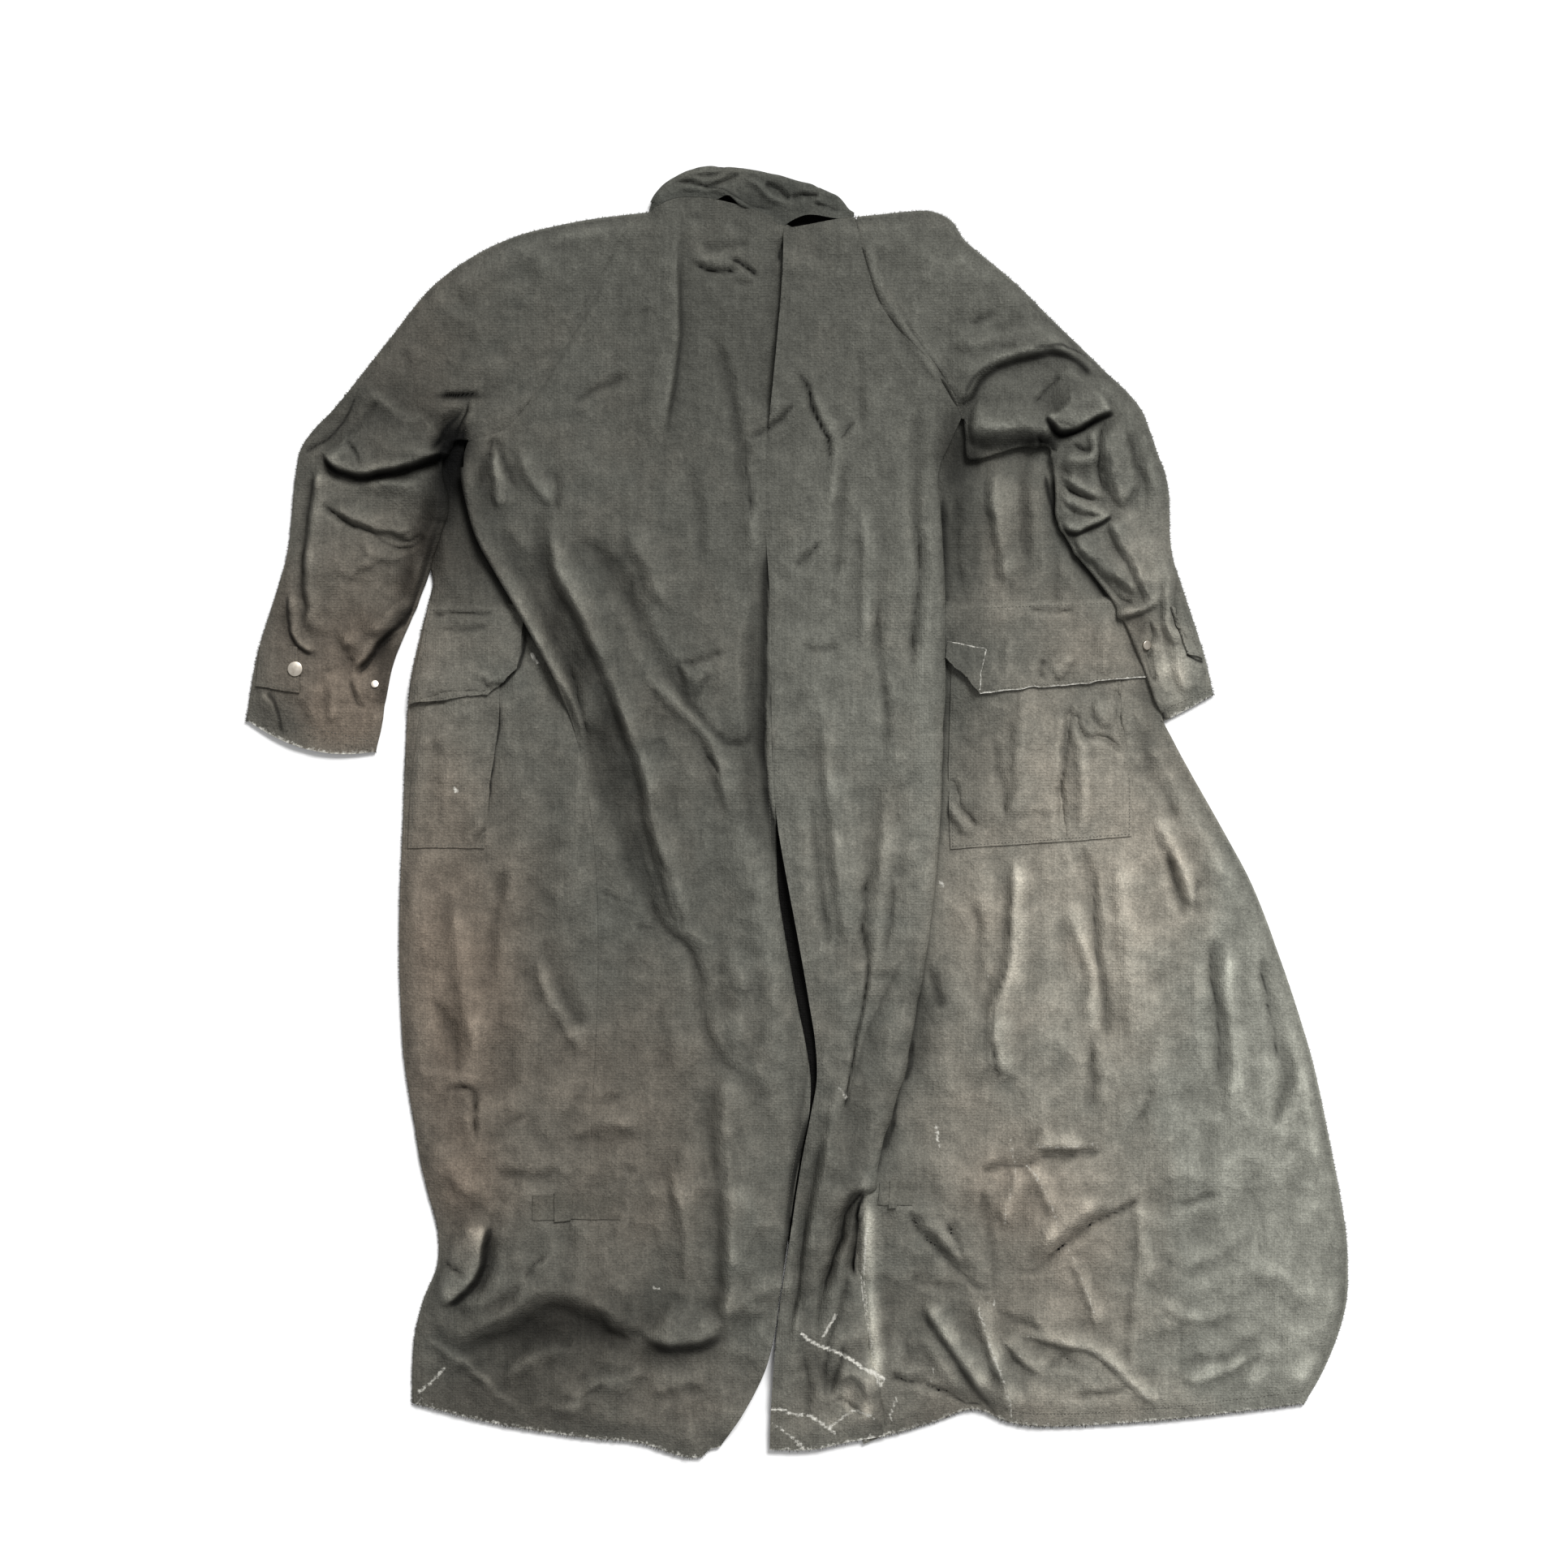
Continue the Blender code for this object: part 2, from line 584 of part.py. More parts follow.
def make_front_right():
    """The right front, whose back edge is tucked below the pleat."""
    fold = body_line("right_fold")
    inside = -left_of(fold)
    cloth = Cloth()
    top_row = curve((TUCKED_EDGE[0], *TOP_FRONT_RIGHT, fold[0] + BEND_INSET * inside[0]), FRONT_RIGHT_COLUMNS)
    grid = patch(TUCKED_EDGE, fold + BEND_INSET * inside, FRONT_RIGHT_COLUMNS, top_row, last=CLOSER_AT_LAST)
    grid = to_hem(grid)
    top = cloth.add(*surface(grid, "front_right"))
    cloth.sew(top)
    edge = cloth.bend(top[:, -1], -inside, FLOOR_LAYER)
    inner = cloth.rest(INNER_HEM_RIGHT + CENTRE_FRONT_RIGHT + FRONT_NECK_RIGHT)
    raglan = cloth.rest(shifted(RIGHT_RAGLAN, -SEAM_GAP / 2)[1:-1])
    cloth.plate(edge, inner, raglan, cloth.rest(ARMHOLE_RIGHT))
    cloth.wall("front_right", CLOTH, WAXED_COTTON)


def make_sleeve(name, raglan, sections, side, bow):
    """A raglan sleeve, turned under along both edges, with its seam below the underarm edge."""
    over, under = sections[:, :2], sections[:, 2:]
    over_inside = side * left_of(over)
    under_inside = -side * left_of(under)
    seam = shifted(raglan, -side * SEAM_GAP / 2)
    top_row = seam.copy()
    run = seam[1] - seam[0]
    top_row[0] += NECK_TRIM * run / np.linalg.norm(run)
    over_edge = np.vstack([top_row[:1], (over + BEND_INSET * over_inside)[1:]])
    under_edge = np.vstack([top_row[-1:], (under + BEND_INSET * under_inside)[1:]])
    cloth = Cloth()
    grid = patch(over_edge, under_edge, YOKE_ROWS, top_row, RAGLAN_FADE, bow, both=CLOSER_AT_BOTH)
    top = cloth.add(*surface(grid, name))
    cloth.sew(top)
    edge = cloth.bend(top[1:, 0], -over_inside[1:], FLOOR_LAYER)
    cloth.bend(top[1:, -1], -under_inside[1:], FLOOR_LAYER, UNDERARM_LIP)
    inner = under + (BEND_INSET + UNDERARM_LIP + SEAM_GAP) * under_inside
    outline = np.vstack([inner[:0:-1], top_row[:0:-1]])
    cloth.plate(edge, cloth.rest(outline))
    cloth.wall(name, CLOTH, WAXED_COTTON)


def make_collar():
    """The stand collar: its back half on its front half, open along the top edge."""
    neck = shifted(COLLAR_SECTIONS[:, :2], SEAM_GAP / 2)
    top_edge = COLLAR_SECTIONS[:, 2:4]
    cloth = Cloth()
    grid = patch(neck, top_edge, COLLAR_COLUMNS)
    top = cloth.add(*surface(grid, "collar"))
    cloth.sew(top)
    ends = []
    for row, side in ((0, 1), (-1, -1)):
        ends.append(cloth.bend(top[row], side * left_of(grid[row]), FLOOR_LAYER))
    shown = shifted(top_edge, COLLAR_SECTIONS[:, 4:])[1:-1]
    neckline = [(point.x, point.y + SEAM_GAP) for point in FRONT_NECK_LEFT[:0:-1] + FRONT_NECK_RIGHT]
    cloth.plate(ends[0], cloth.rest(shown), ends[1][::-1], cloth.rest(neckline[::-1]))
    cloth.wall("collar", CLOTH, COLLAR_CLOTH)


def make_laid(piece):
    """A piece laid on a panel: the panel's points between four corners, moved out."""
    corners = np.array([piece.left_top, piece.right_top, piece.left_low, piece.right_low], dtype=float)
    wide = np.linalg.norm(corners[1] - corners[0])
    long = np.linalg.norm(corners[2] - corners[0])
    columns = 2 + int(wide // LAID_STEP)
    rows = 2 + int(long // LAID_STEP)
    u = np.linspace(0.0, 1.0, columns)[None, :, None]
    v = np.linspace(0.0, 1.0, rows)[:, None, None]
    upper = corners[0] * (1 - u) + corners[1] * u
    lower = corners[2] * (1 - u) + corners[3] * u
    grid = upper * (1 - v) + lower * v
    grid[..., 0] += (piece.swell * u * 4.0 * v * (1.0 - v))[..., 0]
    points, normals = surface(grid, piece.panel)
    lift = piece.lift + piece.opens * v
    lift = lift + piece.puff * np.sin(math.pi * u) * smooth(v / PUFF_RISE) * smooth((1.0 - v) / PUFF_FALL)
    cloth = Cloth()
    cloth.sew(cloth.add(points + lift * normals, normals))
    cloth.wall(piece.name, WALLS[piece.layers], TAPE if "strap" in piece.name else WAXED_COTTON)


def make_snap(snap):
    """A round metal snap part with softened rims, square to the cloth that carries it."""
    shape = bmesh.new()
    bmesh.ops.create_cone(
        shape,
        cap_ends=True,
        segments=SNAP_SIDES,
        radius1=snap.radius,
        radius2=snap.radius,
        depth=snap.height,
    )
    rims = [edge for edge in shape.edges if abs(edge.verts[0].co.z - edge.verts[1].co.z) < SNAP_BEVEL]
    bmesh.ops.bevel(shape, geom=rims, offset=SNAP_BEVEL, segments=1, affect="EDGES")
    disc = np.array([vertex.co for vertex in shape.verts])
    faces = [[vertex.index for vertex in face.verts] for face in shape.faces]
    shape.free()
    point, normal = surface(np.array([snap.x, snap.y], dtype=float), snap.panel)
    along = np.cross([0.0, 1.0, 0.0], normal)
    along = along / np.linalg.norm(along)
    axes = np.stack([along, np.cross(normal, along), normal])
    centre = point + (snap.seat + snap.height / 2) * normal
    make_object(snap.name, centre + disc @ axes, faces, SNAP_METAL)


def clear_scene():
    for item in list(bpy.data.objects):
        bpy.data.objects.remove(item, do_unlink=True)


clear_scene()
make_back_left()
make_back_right()
make_front_left()
make_front_right()
make_sleeve("sleeve_left", LEFT_RAGLAN, LEFT_SLEEVE, 1, CUFF_BOW_LEFT)
make_sleeve("sleeve_right", RIGHT_RAGLAN, RIGHT_SLEEVE, -1, CUFF_BOW_RIGHT)
make_collar()
for row in LAID:
    make_laid(row)
for row in SNAPS:
    make_snap(row)
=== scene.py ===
# %% [markdown]
# # A long riding coat, laid flat with its back up
#
# A coat of worn waxed cotton lies face down on a pale floor and is seen from straight above. This lesson loads
# the imported frame, lays one thin shell of cloth on each of its solids, puts the folds in, and then adds
# the sewing, the snaps and the wear. Lengths are in millimetres until a mesh is made.

import math
from collections import namedtuple

import bmesh
import bpy
import numpy as np
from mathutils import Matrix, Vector
from mathutils.bvhtree import BVHTree


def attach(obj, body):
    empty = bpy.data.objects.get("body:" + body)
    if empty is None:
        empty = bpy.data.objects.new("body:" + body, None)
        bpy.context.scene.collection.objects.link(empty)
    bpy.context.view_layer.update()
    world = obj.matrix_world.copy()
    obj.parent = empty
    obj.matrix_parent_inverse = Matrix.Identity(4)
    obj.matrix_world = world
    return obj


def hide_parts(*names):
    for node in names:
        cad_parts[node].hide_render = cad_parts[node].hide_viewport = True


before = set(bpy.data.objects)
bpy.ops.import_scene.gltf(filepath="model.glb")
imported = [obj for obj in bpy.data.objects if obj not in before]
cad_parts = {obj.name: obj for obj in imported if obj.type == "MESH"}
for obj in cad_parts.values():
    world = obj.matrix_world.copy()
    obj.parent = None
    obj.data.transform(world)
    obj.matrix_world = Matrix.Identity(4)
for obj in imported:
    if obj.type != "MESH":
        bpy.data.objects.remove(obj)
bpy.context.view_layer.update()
bpy.ops.object.select_all(action="DESELECT")
MM = 0.001

# %% [markdown]
# The cut of the coat is that of the solids, with a few edges moved to where the cloth shows them. It is given as
# sections across the body, the hem, the seams of the upper back, and sections along the sleeves and the collar.
# Repeating the tables keeps this script free of other files.

# %% The cut
Body = namedtuple("Body", "y left_fold left_side centre_left centre_right pleat right_fold")
BODY = (
    Body(360, -349, -349, -34, -34, 153, 263),
    Body(300, -365, -337, -33, -33, 149, 266),
    Body(215, -386, -291, -28, -28, 150, 326),
    Body(130, -405, -246, -27, -27, 150, 360),
    Body(69, -409, -228, -26, -26, 148, 388),
    Body(-10, -412, -215, -22, -21, 144, 434),
    Body(-80, -415, -209, -20, -9, 138, 474),
    Body(-150, -416, -208, -9, 4, 129, 502),
    Body(-210, -414, -209, 2, 14, 120, 523),
    Body(-275, -409, -212, 14, 21, 106, 542),
    Body(-310, -403, -214, 13.5, 15.5, 96, 549.5),
    Body(-370, -393, -216, 2, 4, 79, 562),
    Body(-470, -375, -220, -12.5, -11, 64, 576),
    Body(-530, -397, -222, -21.5, -20, 66, 571),
    Body(-565, -401, -223, -27, -23, 71, 558),
    Body(-600, -403, -225, -40, -26, 77, 542),
    Body(-670, -400, -228, -84, -29, 103, 495),
)
ARMPIT_Y = BODY[0].y
VENT_TOP_Y = 69
HEM = (
    (-400, -619), (-320, -639), (-227, -654), (-166, -660), (-125, -673), (-102, -675), (-84, -665), (-29, -667),
    (15, -667), (54, -659), (99, -651), (143, -638), (185, -625), (224, -639), (270, -643), (374, -637),
    (466, -627), (530, -619),
)
RAGLAN_LEFT = (
    (-155, 627), (-179, 603), (-193, 577), (-238, 499), (-268, 444), (-297, 405), (-325, 391), (-343, 387),
)
RAGLAN_RIGHT = ((60, 622), (70, 580), (86, 531), (112, 496), (148, 456), (171, 411))
CENTRE_BACK = ((-14, 609), (-16, 552), (-25, 450), (-32, 385))
# overarm x and y, underarm x and y, from the raglan seam to the cuff
SLEEVE_LEFT = (
    (-155, 627, -343, 387), (-235, 616, -357, 386), (-311, 595, -367, 376), (-378, 552, -370, 362),
    (-430, 489, -369, 346), (-481, 425, -368, 328), (-516, 385, -369, 308), (-525, 345, -376, 285),
    (-532, 276, -386, 251), (-543, 234, -401, 207), (-564, 166, -424, 150), (-576.5, 95, -440, 62),
)
SLEEVE_RIGHT = (
    (60, 622, 174, 409), (146, 627, 176, 390), (178, 595, 181, 367), (229, 552, 236, 381),
    (271, 510, 262, 380), (314, 468, 268, 352), (357, 425, 270, 327), (374, 382, 273, 302),
    (388, 340, 289, 273), (391, 276, 311, 244), (403, 234, 336, 209), (424, 170, 357, 160),
    (436, 122, 381, 94),
)
CUFF_BOW_LEFT = 14.0
CUFF_BOW_RIGHT = 1.0
# neck seam x and y, top edge x and y, and how far the front half shows past the top edge
COLLAR = (
    (-155, 627, -147, 642, 0), (-138, 637, -131, 656, 2), (-119, 642, -110, 666, 5), (-87, 640, -86, 669, 7.5),
    (-44, 627, -53, 667, 5), (-14, 609, -20, 660, 1), (10, 613, 12, 650, -1), (35, 618, 38, 640, -1),
    (60, 622, 57, 635, 0),
)
COLLAR_MIDDLE = 5
# edges of the layer that lies on the floor
FRONT_NECK_LEFT = ((-24, 592), (-66, 591), (-112, 598), (-149, 619))
FRONT_NECK_RIGHT = ((-23, 592), (16, 597), (55, 615))
CENTRE_FRONT_LEFT = ((-100, -648), (-68, -590), (-45, -500), (-36, -300), (-34, 80))
CENTRE_FRONT_RIGHT = ((6, -645), (-4, -500), (-24, -300), (-33, 80))
INNER_HEM_LEFT = ((-320, -630), (-227, -645), (-130, -656))
INNER_HEM_RIGHT = ((466, -618), (374, -628), (250, -632), (185, -616), (99, -642))
TOP_FRONT_RIGHT = ((131, 374), (160, 414), (206, 416), (250, 412), (281, 396))
TOP_FRONT_LEFT = ((-306, 398), (-335, 404), (-366, 396), (-386, 372))
ARMHOLE_RIGHT = ((170, 402), (183, 374), (206, 370), (240, 375))
print("Body sections:", len(BODY), "hem points:", len(HEM))

# %% [markdown]
# Each panel is a grid of points about 3 mm apart. Its side lines are first laid out as coarsely as the solids'
# and then divided, so that the shell keeps the solid's form.

# %% Lines
CLOTH = 1.2
FLOOR_LAYER = 0.8
SEAM_GAP = 0.3
YOKE_ROWS = 9
WAIST_ROWS = 9
SKIRT_ROWS = 20
SLEEVE_ROWS = 32
ROW_PARTS = 11
CURVE_STEPS = 12
HEM_TRIES = 12
COLLAR_LEFT_ROWS = 13
COLLAR_RIGHT_ROWS = 9
# near the armpits the fronts run on a little below the sleeves: how far, above which y and over which rise
LEFT_ARMPIT = (-14.0, 235.0, 40.0)
RIGHT_ARMPIT = (16.0, 78.0, 34.0)


def smooth(share):
    """Goes from 0 to 1 with no slope at either end."""
    share = np.clip(share, 0.0, 1.0)
    return share * share * (3.0 - 2.0 * share)


def ramp(value, start, rise):
    """Goes from 0 at the start to 1 so much further on, or so much lower if the rise is negative."""
    return smooth((value - start) / rise)


def refine(points, parts):
    """A smooth line through the points, with so many steps from each one to the next."""
    knots = np.array(points, dtype=float)
    ends = np.vstack([2 * knots[0] - knots[1], knots, 2 * knots[-1] - knots[-2]])
    before, start, stop, after = (ends[k : len(ends) - 3 + k, None] for k in range(4))
    s = (np.arange(parts) / parts)[None, :, None]
    swing = (stop - before) * s + (2 * before - 5 * start + 4 * stop - after) * s**2
    swing = swing + (3 * start - before - 3 * stop + after) * s**3
    return np.vstack([(start + swing / 2).reshape(-1, knots.shape[1]), knots[-1]])


def even(line, count):
    """Points spread evenly along a line."""
    line = np.array(line, dtype=float)
    run = np.concatenate([[0.0], np.cumsum(np.linalg.norm(np.diff(line, axis=0), axis=1))])
    places = np.linspace(0.0, run[-1], count)
    return np.stack([np.interp(places, run, line[:, k]) for k in range(line.shape[1])], axis=1)


def length(line):
    """Length of a line through points."""
    return np.linalg.norm(np.diff(line, axis=0), axis=1).sum()


def curve(points, count):
    """Points spread evenly along a smooth line through the given ones."""
    return even(refine(points, CURVE_STEPS), count)


def left_of(points):
    """The level unit direction to the left of a line at each of its points."""
    along = np.gradient(points, axis=0)
    along = along / np.linalg.norm(along, axis=1, keepdims=True)
    return np.stack([-along[:, 1], along[:, 0]], axis=1)


def shifted(points, distance):
    """A line moved sideways to its left."""
    return points + distance * left_of(points)


HEM_LINE = refine(HEM, CURVE_STEPS)


def hem_y(x):
    """Height of the hem line at x."""
    return np.interp(x, HEM_LINE[:, 0], HEM_LINE[:, 1])


def across(name, y):
    """Where the body's line of that name crosses the given y, on a smooth curve through its sections."""
    stations = np.array([section.y for section in BODY], dtype=float)
    values = np.array([getattr(section, name) for section in BODY], dtype=float)
    slopes = np.gradient(values, stations)
    place = np.clip(np.searchsorted(-stations, -y, side="right") - 1, 0, len(stations) - 2)
    width = stations[place + 1] - stations[place]
    t = (y - stations[place]) / width
    start = values[place] * (1 + 2 * t) * (1 - t) ** 2 + slopes[place] * width * t * (1 - t) ** 2
    stop = values[place + 1] * t**2 * (3 - 2 * t) + slopes[place + 1] * width * t**2 * (t - 1)
    return start + stop


def body_line(name):
    """A line along the body from the armpit's level to the hem."""
    stop = ARMPIT_Y
    for _ in range(HEM_TRIES):
        stop = float(hem_y(across(name, np.array([stop]))[0]))
    waist = np.linspace(ARMPIT_Y, VENT_TOP_Y, WAIST_ROWS)
    skirt = np.linspace(VENT_TOP_Y, stop, SKIRT_ROWS)[1:]
    y = np.concatenate([waist, skirt])
    return refine(np.stack([across(name, y), y], axis=1), ROW_PARTS)


LEFT_SLEEVE = refine(curve(SLEEVE_LEFT, SLEEVE_ROWS), ROW_PARTS)
RIGHT_SLEEVE = refine(curve(SLEEVE_RIGHT, SLEEVE_ROWS), ROW_PARTS)
PLEAT_EDGE = body_line("pleat")
LEFT_FOLD = body_line("left_fold")
RIGHT_FOLD = body_line("right_fold")
for line, (lap, start, rise) in ((LEFT_FOLD, LEFT_ARMPIT), (RIGHT_FOLD, RIGHT_ARMPIT)):
    line[:, 0] += lap * ramp(line[:, 1], start, rise)
LEFT_SIDE = body_line("left_side")
COLLAR_LEFT = curve(COLLAR[: COLLAR_MIDDLE + 1], COLLAR_LEFT_ROWS)
COLLAR_RIGHT = curve(COLLAR[COLLAR_MIDDLE:], COLLAR_RIGHT_ROWS)
LEFT_RAGLAN = curve(RAGLAN_LEFT, YOKE_ROWS)
RIGHT_RAGLAN = curve(RAGLAN_RIGHT, YOKE_ROWS)
CENTRE_YOKE = curve(CENTRE_BACK, YOKE_ROWS)


def seam_line(raglan, body):
    """A raglan or centre seam with the line that goes on from it down to the hem."""
    return refine(np.vstack([raglan, body[::ROW_PARTS]]), ROW_PARTS)


CENTRE_LINE = seam_line(CENTRE_YOKE, body_line("centre_left"))
print("Rows along the skirt:", len(PLEAT_EDGE), "rows along a sleeve:", len(LEFT_SLEEVE))

# %% [markdown]
# The folds are a table, one row for each ridge, trough or lip, as they lie in the cloth. A ridge that is narrow
# on one side is a lip: cloth that laps over its neighbour. Letters name the pieces that a fold belongs to: back,
# front, sleeve, pocket, flap (G) and collar, left or right.

# %% Folds
Fold = namedtuple("Fold", "layers left right height dark fade line")
